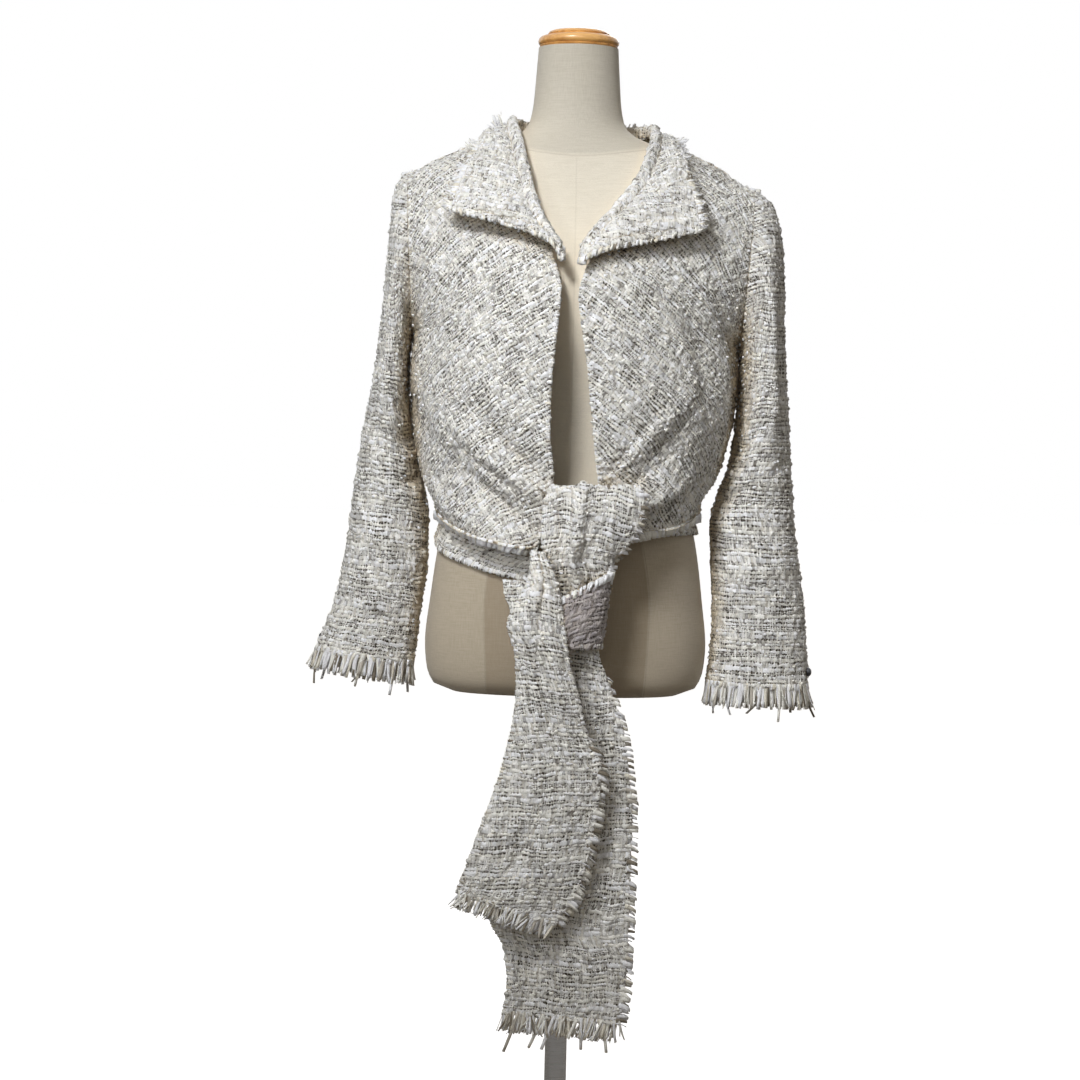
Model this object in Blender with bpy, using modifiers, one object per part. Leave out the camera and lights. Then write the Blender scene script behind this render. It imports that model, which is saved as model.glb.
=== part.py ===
"""Cropped tweed jacket with a tied front, worn by a limbless dress form on a plain stand.

Metres, +Z up, the front faces -Y, and the origin is the middle of the stand's foot on the floor.
Left and right are the wearer's: the right half of the jacket lies at -X.
"""

import math

import bmesh
import bpy
import numpy as np
from mathutils import Matrix

# ---------------------------------------------------------------- driving sizes
CLOTH = 0.0024            # thickness of the tweed
SEAM_GAP = 0.0007         # clearance between two sewn pieces
FORM_FLOOR = 0.600        # height of the form's flat bottom above the floor
NECK_TOP = 1.330          # height of the neck's cut end

BREAK = 0.66              # share of the front's length where the lapel starts to roll
ARMPIT = 0.56             # share of the front's length at the bottom of the armhole
NECK_SHARE = 0.36         # share of the back's half width that lies under the neck
SHOULDER_TURN = 0.68      # share of the half collar that lies before the shoulder seam
SHOULDER_OPEN = 0.0006    # extra clearance where the two panels meet at a ridge
# Rows of both body panels from hem to shoulder, closer together over the shoulder.
PANEL_ROWS = (0, .05, .10, .16, .22, .29, .37, .46, .56, .64, .71, .77, .83, .88, .925, .965, 1)

RIGHT, LEFT = -1, 1


class Sections:
    """A short table with named columns, read as smooth curves along its first column."""

    def __init__(self, columns, rows):
        self.names = columns.split()
        self.rows = np.array(rows, float)

    def read(self, column, at):
        """Cubic curve through one column that doesn't overshoot its rows."""
        knots = self.rows[:, 0]
        values = self.rows[:, self.names.index(column)]
        steps = np.diff(knots)
        slopes = np.diff(values) / steps
        tangents = np.empty(len(knots))
        tangents[0], tangents[-1] = slopes[0], slopes[-1]
        for i in range(1, len(knots) - 1):
            before, after = slopes[i - 1], slopes[i]
            tangents[i] = 0 if before * after <= 0 else 2 * before * after / (before + after)
        at = np.clip(np.asarray(at, float), knots[0], knots[-1])
        i = np.clip(np.searchsorted(knots, at, side="right") - 1, 0, len(steps) - 1)
        h = steps[i]
        t = (at - knots[i]) / h
        return (
            values[i] * (1 + 2 * t) * (1 - t) ** 2
            + values[i + 1] * t * t * (3 - 2 * t)
            + h * tangents[i] * t * (1 - t) ** 2
            - h * tangents[i + 1] * t * t * (1 - t)
        )

    def point(self, at, *columns):
        return np.stack([self.read(c, at) for c in columns], -1)


def ease(t):
    """Smooth step from 0 to 1."""
    t = np.clip(t, 0, 1)
    return t * t * (3 - 2 * t)


def unit(v):
    return v / np.maximum(np.linalg.norm(v, axis=-1, keepdims=True), 1e-12)


# ---------------------------------------------------------------- the dress form
FORM = Sections(
    "height half_width front back square",
    [
        (0.600, 0.128, 0.072, 0.086, 2.3),
        (0.603, 0.142, 0.083, 0.099, 2.3),
        (0.612, 0.152, 0.092, 0.109, 2.3),
        (0.630, 0.158, 0.097, 0.116, 2.3),
        (0.655, 0.160, 0.099, 0.119, 2.3),
        (0.705, 0.155, 0.100, 0.116, 2.3),
        (0.780, 0.144, 0.097, 0.100, 2.3),
        (0.825, 0.127, 0.088, 0.082, 2.2),
        (0.865, 0.117, 0.082, 0.073, 2.2),
        (0.910, 0.122, 0.087, 0.077, 2.2),
        (0.960, 0.132, 0.100, 0.086, 2.2),
        (1.010, 0.141, 0.118, 0.093, 2.2),
        (1.050, 0.147, 0.125, 0.096, 2.2),
        (1.090, 0.153, 0.117, 0.097, 2.3),
        (1.130, 0.162, 0.097, 0.092, 2.3),
        (1.160, 0.170, 0.080, 0.083, 2.3),
        (1.178, 0.170, 0.071, 0.076, 2.2),
        (1.187, 0.165, 0.067, 0.072, 2.1),
        (1.196, 0.150, 0.063, 0.068, 2.0),
        (1.206, 0.127, 0.059, 0.063, 2.0),
        (1.216, 0.104, 0.056, 0.059, 2.0),
        (1.2255, 0.081, 0.0535, 0.0555, 2.0),
        (1.234, 0.0622, 0.051, 0.053, 2.0),
        (1.244, 0.0545, 0.049, 0.050, 2.0),
        (1.264, 0.0500, 0.047, 0.048, 2.0),
        (1.295, 0.0475, 0.046, 0.046, 2.0),
        (1.330, 0.0452, 0.045, 0.045, 2.0),
    ],
)
FORM_RINGS, FORM_SIDES = 26, 28


def form_reach(points):
    """How far out a point lies, as a share of the form's surface at that height."""
    x, y, z = points[..., 0], points[..., 1], points[..., 2]
    deep = np.where(y < 0, FORM.read("front", z), FORM.read("back", z))
    power = FORM.read("square", z)
    return (np.abs(x / FORM.read("half_width", z)) ** power + np.abs(y / deep) ** power) ** (1 / power)


def over_form(points, margin=0.0021):
    """Cloth rests on the form: points nearer than the margin move out along the form's normal."""
    margin = margin + np.where(points[..., 1] > 0, 0.0035, 0.0010) * ease((points[..., 2] - 1.155) / 0.02)
    for _ in range(3):
        step = 2e-4
        reach = form_reach(points)
        slope = np.stack(
            [(form_reach(points + step * axis) - form_reach(points - step * axis)) / (2 * step)
             for axis in np.eye(3)], -1)
        steep = np.maximum(np.linalg.norm(slope, axis=-1), 1e-6)
        apart = np.clip((reach - 1) / steep, -0.05, 0.05)
        soft = 0.0016
        wanted = (apart + margin + np.sqrt((apart - margin) ** 2 + soft**2)) / 2
        wanted = np.where(apart > 0.02, apart, wanted)
        move = np.where(points[..., 2] > NECK_TOP, 0, wanted - apart) / steep
        points = points + slope * move[..., None]
    return points


# ---------------------------------------------------------------- body panels
# The line along each front from hem to shoulder: the front edge, then the roll line.
FRONT_EDGE = {
    RIGHT: Sections(
        "share x y z",
        [
            (0.00, 0.036, -0.127, 0.766),
            (0.07, 0.025, -0.134, 0.800),
            (0.15, 0.018, -0.139, 0.838),
            (0.25, 0.024, -0.146, 0.882),
            (0.36, 0.025, -0.150, 0.930),
            (0.48, 0.021, -0.150, 0.988),
            (0.58, 0.016, -0.147, 1.043),
            (0.66, 0.0130, -0.141, 1.083),
            (0.74, 0.034, -0.124, 1.112),
            (0.82, 0.050, -0.102, 1.146),
            (0.90, 0.0595, -0.077, 1.182),
            (0.96, 0.0655, -0.043, 1.217),
            (1.00, 0.068, -0.00095, 1.2375),
        ],
    ),
    LEFT: Sections(
        "share x y z",
        [
            (0.00, 0.040, -0.124, 0.780),
            (0.07, 0.036, -0.131, 0.808),
            (0.15, 0.033, -0.138, 0.840),
            (0.25, 0.027, -0.145, 0.882),
            (0.36, 0.022, -0.150, 0.930),
            (0.48, 0.015, -0.150, 0.986),
            (0.58, 0.006, -0.147, 1.040),
            (0.66, 0.0065, -0.141, 1.080),
            (0.74, 0.0215, -0.124, 1.106),
            (0.82, 0.049, -0.102, 1.140),
            (0.90, 0.073, -0.075, 1.176),
            (0.96, 0.0825, -0.042, 1.210),
            (1.00, 0.083, -0.00095, 1.2312),
        ],
    ),
}
# The side seam from hem to armpit, shared by front and back.
SIDE_SEAM = {
    RIGHT: Sections(
        "share x z",
        [
            (0.00, 0.1490, 0.800),
            (0.10, 0.1530, 0.822),
            (0.20, 0.1640, 0.848),
            (0.32, 0.1740, 0.880),
            (0.50, 0.1795, 0.920),
            (0.75, 0.1810, 0.962),
            (1.00, 0.1790, 1.003),
        ],
    ),
    LEFT: Sections(
        "share x z",
        [
            (0.00, 0.1480, 0.803),
            (0.10, 0.1500, 0.824),
            (0.20, 0.1610, 0.846),
            (0.32, 0.1750, 0.876),
            (0.50, 0.1850, 0.916),
            (0.75, 0.1885, 0.958),
            (1.00, 0.1865, 0.998),
        ],
    ),
}
# How far, in degrees, a front's row has turned towards the side where it ends.
FRONT_TURN = Sections(
    "share turn",
    [(0.0, 84), (0.30, 86), (0.56, 86), (0.66, 72), (0.76, 52), (0.86, 34), (0.94, 16), (1.0, 6)],
)
ARMHOLE = {
    RIGHT: {"tip": (0.1880, 1.1845), "front": 0.060, "back": 0.064},
    LEFT: {"tip": (0.2010, 1.1735), "front": 0.060, "back": 0.064},
}
# The middle of the back from hem to neck.
BACK_LINE = Sections(
    "share y z",
    [
        (0.00, 0.112, 0.800),
        (0.08, 0.118, 0.828),
        (0.18, 0.126, 0.868),
        (0.34, 0.124, 0.940),
        (0.52, 0.118, 1.020),
        (0.70, 0.112, 1.105),
        (0.84, 0.100, 1.165),
        (0.93, 0.082, 1.205),
        (1.00, 0.0625, 1.2300),
    ],
)
BACK_TURN = Sections(
    "share turn", [(0.0, 86), (0.56, 86), (0.66, 72), (0.78, 50), (0.90, 26), (1.0, 10)]
)


def armhole(side, angle):
    """A point of the armhole: angle 0 at the shoulder tip, pi at the armpit, front half negative."""
    tip_x, tip_z = ARMHOLE[side]["tip"]
    pit_x, pit_z = SIDE_SEAM[side].rows[-1, 1:]
    down = (1 - np.cos(angle)) / 2
    deep = np.where(np.sin(angle) < 0, ARMHOLE[side]["front"], ARMHOLE[side]["back"])
    x = tip_x + (pit_x - tip_x) * down
    return np.stack([x, deep * np.sin(angle), tip_z + (pit_z - tip_z) * down], -1)


def outer_edge(side, share, face):
    """Side seam and then armhole, from hem to shoulder tip; face is -1 in front and 1 behind."""
    low = np.clip(share / ARMPIT, 0, 1)
    seam = np.stack(
        [
            SIDE_SEAM[side].read("x", low),
            np.full_like(low, face * SEAM_GAP / 2),
            SIDE_SEAM[side].read("z", low),
        ],
        -1,
    )
    up = np.clip((share - ARMPIT) / (1 - ARMPIT), 0, 1)
    hole = armhole(side, face * np.pi * (1 - up))
    hole[..., 1] += face * (SEAM_GAP / 2 + SHOULDER_OPEN * ease((up - 0.85) / 0.15))
    return np.where((share <= ARMPIT)[..., None], seam, hole)


def row_arc(start, end, across, turn, share):
    """A row that leaves its start facing forward and has turned by an angle at its end."""
    angle = np.radians(turn)
    x_share = np.sin(angle * across) / np.sin(angle)
    y_share = (1 - np.cos(angle * across)) / (1 - np.cos(angle))
    level = ease((share - 0.72) / 0.28)
    z_share = ease(across) * (1 - level) + across * level
    shares = np.stack([x_share, y_share, z_share], -1)
    return start + (end - start) * shares


def creased(base, across, share, creases, flip=1.0):
    """A surface's points, moved along its normal by soft creases drawn on it in shares of its sides."""
    points = base(across, share)
    step = 1e-3
    along = base(across + step, share) - base(across - step, share)
    upward = base(across, share + step) - base(across, share - step)
    normal = unit(np.cross(along, upward)) * flip
    lift = np.zeros(points.shape[:-1])
    for from_u, from_v, to_u, to_v, width, depth in creases:
        run = np.array([to_u - from_u, to_v - from_v])
        t = ((across - from_u) * run[0] + (share - from_v) * run[1]) / (run @ run)
        near = np.clip(t, 0, 1)
        away = np.hypot(across - from_u - near * run[0], share - from_v - near * run[1])
        fade = 0.25 + 0.75 * np.sin(np.pi * near) ** 0.7
        lift += depth * np.exp(-((away / width) ** 2)) * fade
    return points + normal * lift[..., None]


# Creases: from and to in shares of the panel (across, up), width as a share, depth in metres.
FRONT_CREASES = {
    RIGHT: [
        (0.00, 0.05, 0.55, 0.16, 0.040, -0.007),
        (0.00, 0.10, 0.50, 0.26, 0.040, 0.008),
        (0.00, 0.13, 0.40, 0.34, 0.040, -0.006),
        (0.02, 0.00, 0.85, 0.06, 0.045, 0.006),
        (0.35, 0.02, 1.00, 0.12, 0.050, 0.006),
        (0.55, 0.14, 0.95, 0.30, 0.060, -0.005),
        (0.75, 0.62, 0.92, 0.30, 0.060, 0.004),
    ],
    LEFT: [
        (0.00, 0.05, 0.60, 0.15, 0.045, 0.007),
        (0.00, 0.12, 0.45, 0.28, 0.040, -0.006),
        (0.10, 0.16, 0.50, 0.40, 0.045, 0.005),
        (0.40, 0.02, 1.00, 0.13, 0.050, 0.007),
        (0.62, 0.74, 0.80, 0.25, 0.070, 0.005),
        (0.74, 0.66, 0.90, 0.20, 0.060, -0.003),
        (0.50, 0.60, 0.60, 0.30, 0.050, -0.004),
    ],
}
BACK_CREASES = [
    (-0.72, 0.02, -0.60, 0.26, 0.050, 0.006),
    (-0.42, 0.00, -0.36, 0.22, 0.045, -0.005),
    (-0.15, 0.00, -0.12, 0.30, 0.050, 0.006),
    (0.12, 0.00, 0.16, 0.20, 0.045, -0.005),
    (0.38, 0.00, 0.34, 0.28, 0.050, 0.006),
    (0.66, 0.02, 0.60, 0.24, 0.050, -0.005),
    (-0.85, 0.58, -0.45, 0.40, 0.060, 0.005),
    (0.85, 0.58, 0.50, 0.38, 0.060, 0.005),
]


def front_panel(side):
    def base(across, share):
        start = FRONT_EDGE[side].point(share, "x", "y", "z")
        end = outer_edge(side, share, -1)
        return row_arc(start, end, across, FRONT_TURN.read("turn", share), share)

    def surface(across, share):
        points = over_form(creased(base, across, share, FRONT_CREASES[side]))
        return points * (side, 1, 1)

    return surface


def back_top(side, across):
    """The back's upper edge: shoulder seam from the tip to the neck point, then round the neck."""
    tip = outer_edge(side, np.ones_like(across), 1)
    neck_point = FRONT_EDGE[side].point(np.ones_like(across), "x", "y", "z")
    neck_point[..., 1] = SEAM_GAP / 2 + SHOULDER_OPEN
    centre = np.stack([0 * across, 0 * across + 0.0625, 0 * across + 1.2300], -1)
    seam = neck_point + (tip - neck_point) * np.clip(
        (across - NECK_SHARE) / (1 - NECK_SHARE), 0, 1
    )[..., None]
    turn = np.clip(across / NECK_SHARE, 0, 1) * np.pi / 2
    round_neck = centre.copy()
    round_neck[..., 0] = neck_point[..., 0] * np.sin(turn)
    round_neck[..., 1] = neck_point[..., 1] + (centre[..., 1] - neck_point[..., 1]) * np.cos(turn)
    round_neck[..., 2] = neck_point[..., 2] + (centre[..., 2] - neck_point[..., 2]) * np.cos(turn)
    return np.where((across < NECK_SHARE)[..., None], round_neck, seam)


def back_half(side, across, share):
    start = np.stack([0 * share, BACK_LINE.read("y", share), BACK_LINE.read("z", share)], -1)
    end = outer_edge(side, share, 1)
    rows = row_arc(start, end, across, BACK_TURN.read("turn", share), share)
    to_top = ease((share - 0.80) / 0.20)[..., None]
    points = rows + (back_top(side, across) - rows) * to_top
    points[..., 0] *= side
    return points


def back_panel(across, share):
    def base(across, share):
        left = back_half(LEFT, np.abs(across), share)
        right = back_half(RIGHT, np.abs(across), share)
        return np.where((across > 0)[..., None], left, right)

    return over_form(creased(base, across, share, BACK_CREASES, flip=-1.0))


# ---------------------------------------------------------------- sleeves
# Rings from armhole to cuff: where the ring meets the outer and the inner outline, its half
# depth front to back, and the place of its middle.
SLEEVE = {
    RIGHT: Sections(
        "share outer_x outer_z inner_x inner_z half_depth mid_y",
        [
            (0.00, 0.1900, 1.1850, 0.1822, 1.0010, 0.0622, 0.002),
            (0.04, 0.2010, 1.1720, 0.1845, 0.9930, 0.0650, 0.002),
            (0.09, 0.2060, 1.1420, 0.1855, 0.9820, 0.0660, 0.003),
            (0.16, 0.2095, 1.0900, 0.1865, 0.9640, 0.0660, 0.004),
            (0.25, 0.2150, 1.0250, 0.1870, 0.9380, 0.0650, 0.006),
            (0.36, 0.2230, 0.9580, 0.1865, 0.9050, 0.0620, 0.009),
            (0.46, 0.2330, 0.9000, 0.1800, 0.8650, 0.0570, 0.011),
            (0.55, 0.2405, 0.8500, 0.1680, 0.8280, 0.0520, 0.011),
            (0.62, 0.2455, 0.8080, 0.1610, 0.7980, 0.0490, 0.009),
            (0.72, 0.2525, 0.7500, 0.1605, 0.7470, 0.0440, 0.003),
            (0.83, 0.2620, 0.7000, 0.1660, 0.6960, 0.0390, -0.004),
            (0.93, 0.2750, 0.6640, 0.1705, 0.6540, 0.0350, -0.009),
            (1.00, 0.2820, 0.6450, 0.1730, 0.6300, 0.0330, -0.011),
        ],
    ),
    LEFT: Sections(
        "share outer_x outer_z inner_x inner_z half_depth mid_y",
        [
            (0.00, 0.2030, 1.1740, 0.1896, 0.9960, 0.0622, 0.002),
            (0.04, 0.2190, 1.1620, 0.1915, 0.9880, 0.0645, 0.002),
            (0.09, 0.2310, 1.1340, 0.1925, 0.9770, 0.0665, 0.003),
            (0.16, 0.2370, 1.0850, 0.1930, 0.9590, 0.0665, 0.004),
            (0.25, 0.2395, 1.0200, 0.1930, 0.9330, 0.0650, 0.006),
            (0.36, 0.2440, 0.9550, 0.1920, 0.9000, 0.0620, 0.008),
            (0.46, 0.2490, 0.8980, 0.1850, 0.8620, 0.0570, 0.009),
            (0.55, 0.2530, 0.8450, 0.1720, 0.8280, 0.0520, 0.008),
            (0.62, 0.2560, 0.8020, 0.1640, 0.7960, 0.0490, 0.006),
            (0.72, 0.2640, 0.7450, 0.1660, 0.7430, 0.0440, 0.001),
            (0.83, 0.2710, 0.6860, 0.1680, 0.6860, 0.0390, -0.005),
            (0.93, 0.2745, 0.6400, 0.1650, 0.6420, 0.0350, -0.009),
            (1.00, 0.2760, 0.6130, 0.1620, 0.6150, 0.0330, -0.011),
        ],
    ),
}
# Creases on a sleeve: angle in turns from the outer line (front half negative), share down.
SLEEVE_CREASES = {
    RIGHT: [
        (-0.34, 0.50, -0.10, 0.44, 0.030, -0.0050),
        (-0.40, 0.60, -0.14, 0.64, 0.030, -0.0045),
        (-0.30, 0.70, -0.06, 0.60, 0.028, 0.0040),
        (-0.24, 0.20, -0.20, 0.40, 0.035, 0.0050),
        (0.10, 0.50, 0.36, 0.56, 0.035, -0.0050),
        (0.12, 0.70, 0.36, 0.64, 0.035, -0.0040),
        (-0.18, 0.86, -0.05, 0.80, 0.028, -0.0035),
    ],
    LEFT: [
        (-0.22, 0.10, -0.20, 0.42, 0.030, 0.0070),
        (-0.12, 0.14, -0.12, 0.44, 0.026, -0.0060),
        (-0.38, 0.56, -0.12, 0.60, 0.032, -0.0040),
        (-0.36, 0.74, -0.10, 0.70, 0.030, 0.0035),
        (0.10, 0.52, 0.36, 0.58, 0.035, -0.0050),
        (0.12, 0.72, 0.36, 0.66, 0.035, -0.0040),
    ],
}


def sleeve(side):
    table = SLEEVE[side]

    def base(turns, share):
        angle = 2 * np.pi * turns
        outer = table.point(share, "outer_x", "mid_y", "outer_z")
        inner = table.point(share, "inner_x", "mid_y", "inner_z")
        points = (outer + inner) / 2 + (outer - inner) / 2 * np.cos(angle)[..., None]
        points[..., 1] += table.read("half_depth", share) * np.sin(angle)
        return points

    def surface(turns, share):
        wrapped = (turns + 0.5) % 1.0 - 0.5
        return creased(base, wrapped, share, SLEEVE_CREASES[side], flip=-1.0) * (side, 1, 1)

    return surface


# ---------------------------------------------------------------- collar and lapels
# One strip from lapel to lapel round the neck. Each half runs from the break (0) to the middle
# of the back (1): how far it rises to its roll, half the roll's width, its raw outer edge, and how
# the fall between them bellies: forward, then outward and up near the roll, and up half way.
COLLAR = {
    RIGHT: Sections(
        "share rise roll outer_x outer_y outer_z bulge out_near up_near up_half",
        [
            (0.00, 0.005, 0.0070, 0.139, -0.117, 1.136, 0.008, 0.008, 0.027, 0.010),
            (0.10, 0.007, 0.0072, 0.139, -0.115, 1.142, 0.008, 0.009, 0.020, 0.008),
            (0.20, 0.008, 0.0072, 0.137, -0.110, 1.149, 0.009, 0.010, 0.014, 0.006),
            (0.40, 0.009, 0.0065, 0.128, -0.091, 1.175, 0.009, 0.010, 0.006, 0.004),
            (0.55, 0.011, 0.0055, 0.116, -0.059, 1.205, 0.008, 0.009, 0.003, 0.004),
            (0.68, 0.012, 0.0045, 0.100, -0.004, 1.2310, 0.006, 0.006, 0.002, 0.003),
            (0.80, 0.014, 0.0042, 0.079, 0.048, 1.2430, 0.003, 0.003, 0.001, 0.002),
            (0.90, 0.015, 0.0042, 0.046, 0.076, 1.2430, 0.002, 0.002, 0.001, 0.002),
            (1.00, 0.015, 0.0042, 0.000, 0.086, 1.2410, 0.002, 0.002, 0.001, 0.002),
        ],
    ),
    LEFT: Sections(
        "share rise roll outer_x outer_y outer_z bulge out_near up_near up_half",
        [
            (0.00, 0.005, 0.0070, 0.137, -0.117, 1.120, 0.008, 0.007, 0.014, 0.000),
            (0.10, 0.007, 0.0072, 0.138, -0.115, 1.129, 0.008, 0.008, 0.011, 0.001),
            (0.20, 0.008, 0.0072, 0.137, -0.109, 1.142, 0.009, 0.009, 0.009, 0.002),
            (0.40, 0.009, 0.0065, 0.129, -0.090, 1.168, 0.009, 0.010, 0.005, 0.003),
            (0.55, 0.010, 0.0055, 0.121, -0.060, 1.199, 0.008, 0.009, 0.003, 0.004),
            (0.68, 0.010, 0.0045, 0.112, -0.004, 1.2275, 0.006, 0.006, 0.002, 0.003),
            (0.80, 0.013, 0.0042, 0.088, 0.046, 1.2370, 0.003, 0.003, 0.001, 0.002),
            (0.90, 0.015, 0.0042, 0.048, 0.076, 1.2420, 0.002, 0.002, 0.001, 0.002),
            (1.00, 0.015, 0.0042, 0.000, 0.086, 1.2410, 0.002, 0.002, 0.001, 0.002),
        ],
    ),
}


def neckline(side, share):
    """The sewn edge of a collar half: up the roll line, then round the back neck."""
    up_front = BREAK + (1 - BREAK) * np.clip(share / SHOULDER_TURN, 0, 1)
    front = FRONT_EDGE[side].point(up_front, "x", "y", "z")
    round_back = np.clip((share - SHOULDER_TURN) / (1 - SHOULDER_TURN), 0, 1)
    back = back_top(side, NECK_SHARE * (1 - round_back))
    return np.where((share <= SHOULDER_TURN)[..., None], front, back)


def bezier(a, b, c, d, t):
    t = t[..., None]
    return a * (1 - t) ** 3 + 3 * b * t * (1 - t) ** 2 + 3 * c * t * t * (1 - t) + d * t**3


def collar_half(side, share, over):
    """share runs along the neckline; over runs 0 at the seam, 0.4 past the roll, 1 at the edge."""
    table = COLLAR[side]
    step = 0.02
    seam = over_form(neckline(side, share))
    tangent = unit(neckline(side, np.minimum(share + step, 1)) - neckline(side, np.maximum(share - step, 0)))
    at_middle = ease((share - 0.9) / 0.1)[..., None]
    tangent = unit(tangent * (1 - at_middle) + np.array([-1.0, 0, 0]) * at_middle)
    away = unit(seam * (1, 1, 0))
    upward = np.cross(away, tangent)
    upward = unit(np.where(upward[..., 2:] < 0, -upward, upward))
    rise = upward * table.read("rise", share)[..., None]
    start = seam + upward * 0.0024
    past = start + away * 2 * table.read("roll", share)[..., None]
    roll = bezier(start, start + rise * 1.33, past + rise * 1.33, past, np.clip(over / 0.4, 0, 1))
    outer = table.point(share, "outer_x", "outer_y", "outer_z")
    run = outer - past
    belly = away * table.read("bulge", share)[..., None]
    near = unit(run * (1, 1, 0)) * table.read("out_near", share)[..., None]
    near[..., 2] += table.read("up_near", share)
    half = run * 0.5
    half[..., 2] += table.read("up_half", share)
    fall = bezier(past, past + near + belly * 0.4, past + half + belly, outer,
                  np.clip((over - 0.4) / 0.6, 0, 1))
    points = over_form(np.where((over < 0.4)[..., None], roll, fall), 0.0030)
    return points * (side, 1, 1)


def collar(along, over):
    """along runs -1 at the right lapel's end, 0 at the middle of the back, 1 at the left's."""
    left = collar_half(LEFT, 1 - np.abs(along), over)
    right = collar_half(RIGHT, 1 - np.abs(along), over)
    return np.where((along > 0)[..., None], left, right)


# ---------------------------------------------------------------- waist band and ties
# The band lies on the form and slopes down to the knot on the right.
BAND = Sections(
    "turns low high margin",
    [
        (-0.700, 0.7300, 0.7720, 0.0060),
        (-0.640, 0.7380, 0.7820, 0.0044),
        (-0.560, 0.7560, 0.8020, 0.0031),
        (-0.480, 0.7760, 0.8220, 0.0029),
        (-0.250, 0.7860, 0.8300, 0.0031),
        (0.000, 0.7850, 0.8300, 0.0031),
        (0.060, 0.7850, 0.8280, 0.0033),
        (0.140, 0.7820, 0.8240, 0.0050),
    ],
)


def waist_band(turns, share):
    """turns count from the left side: 0 there, -0.25 at the middle of the back, -0.5 at the right."""
    low, high = BAND.read("low", turns), BAND.read("high", turns)
    z = low + (high - low) * share
    margin = BAND.read("margin", turns) + 0.001 * (1 - share) ** 2
    angle = -2 * np.pi * turns
    power = FORM.read("square", z)
    cos, sin = np.cos(angle), np.sin(angle)
    deep = np.where(sin < 0, FORM.read("front", z), FORM.read("back", z)) + margin
    half = FORM.read("half_width", z) + margin
    radius = (np.abs(cos / half) ** power + np.abs(sin / deep) ** power) ** (-1 / power)
    return np.stack([radius * cos, radius * sin, z], -1)


# Ties: rungs across the strip, given by both edges and by the depth at edges and middle.
TIE_LEFT = Sections(
    "share first_x first_z second_x second_z first_y middle_y second_y",
    [
        (0.000, 0.1040, 0.8340, 0.0960, 0.8060, -0.1230, -0.1235, -0.1148),
        (0.035, 0.0800, 0.8380, 0.0870, 0.7960, -0.1420, -0.1450, -0.1330),
        (0.070, 0.0450, 0.8390, 0.0790, 0.7820, -0.1560, -0.1600, -0.1400),
        (0.105, 0.0100, 0.8385, 0.0700, 0.7710, -0.1600, -0.1670, -0.1440),
        (0.135, -0.0180, 0.8340, 0.0620, 0.7620, -0.1580, -0.1700, -0.1480),
        (0.165, -0.0275, 0.8120, 0.0530, 0.7540, -0.1560, -0.1690, -0.1500),
        (0.200, -0.0280, 0.7760, 0.0425, 0.7380, -0.1540, -0.1640, -0.1500),
        (0.240, -0.0160, 0.7380, 0.0365, 0.7130, -0.1500, -0.1560, -0.1480),
        (0.290, -0.0180, 0.6900, 0.0320, 0.6780, -0.1440, -0.1500, -0.1440),
        (0.315, -0.0200, 0.6620, 0.0325, 0.6550, -0.1410, -0.1480, -0.1420),
        (0.350, -0.0280, 0.6350, 0.0440, 0.6280, -0.1380, -0.1460, -0.1400),
        (0.430, -0.0420, 0.5700, 0.0640, 0.5660, -0.1360, -0.1440, -0.1360),
        (0.560, -0.0500, 0.4700, 0.0755, 0.4700, -0.1300, -0.1380, -0.1300),
        (0.700, -0.0640, 0.3950, 0.0750, 0.3800, -0.1250, -0.1340, -0.1260),
        (0.760, -0.0760, 0.3600, 0.0745, 0.3450, -0.1230, -0.1330, -0.1240),
        (0.820, -0.0590, 0.3250, 0.0740, 0.3150, -0.1280, -0.1320, -0.1240),
        (0.900, -0.0550, 0.2880, 0.0720, 0.2800, -0.1320, -0.1300, -0.1230),
        (1.000, -0.0600, 0.2550, 0.0680, 0.2450, -0.1300, -0.1290, -0.1230),
    ],
)
TIE_RIGHT = Sections(
    "share first_x first_z second_x second_z first_y middle_y second_y",
    [
        (0.000, -0.0395, 0.7660, -0.0270, 0.7640, -0.1590, -0.1630, -0.1610),
        (0.040, -0.0400, 0.7520, -0.0200, 0.7500, -0.1660, -0.1730, -0.1700),
        (0.090, -0.0430, 0.7330, -0.0120, 0.7300, -0.1740, -0.1840, -0.1765),
        (0.140, -0.0560, 0.7080, -0.0070, 0.7060, -0.1795, -0.1885, -0.1785),
        (0.190, -0.0630, 0.6870, -0.0030, 0.6820, -0.1785, -0.1890, -0.1788),
        (0.250, -0.0540, 0.6540, 0.0020, 0.6500, -0.1760, -0.1880, -0.1790),
        (0.330, -0.0520, 0.6120, 0.0140, 0.6080, -0.1740, -0.1850, -0.1760),
        (0.400, -0.0560, 0.5760, 0.0240, 0.5700, -0.1700, -0.1800, -0.1720),
        (0.480, -0.0640, 0.5400, 0.0400, 0.5320, -0.1660, -0.1760, -0.1660),
        (0.560, -0.0710, 0.5120, 0.0380, 0.4980, -0.1620, -0.1740, -0.1620),
        (0.700, -0.0880, 0.4640, 0.0300, 0.4460, -0.1600, -0.1700, -0.1600),
        (0.850, -0.1020, 0.4220, 0.0160, 0.3960, -0.1580, -0.1670, -0.1580),
        (1.000, -0.1130, 0.3920, -0.0060, 0.3590, -0.1560, -0.1640, -0.1560),
    ],
)
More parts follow.
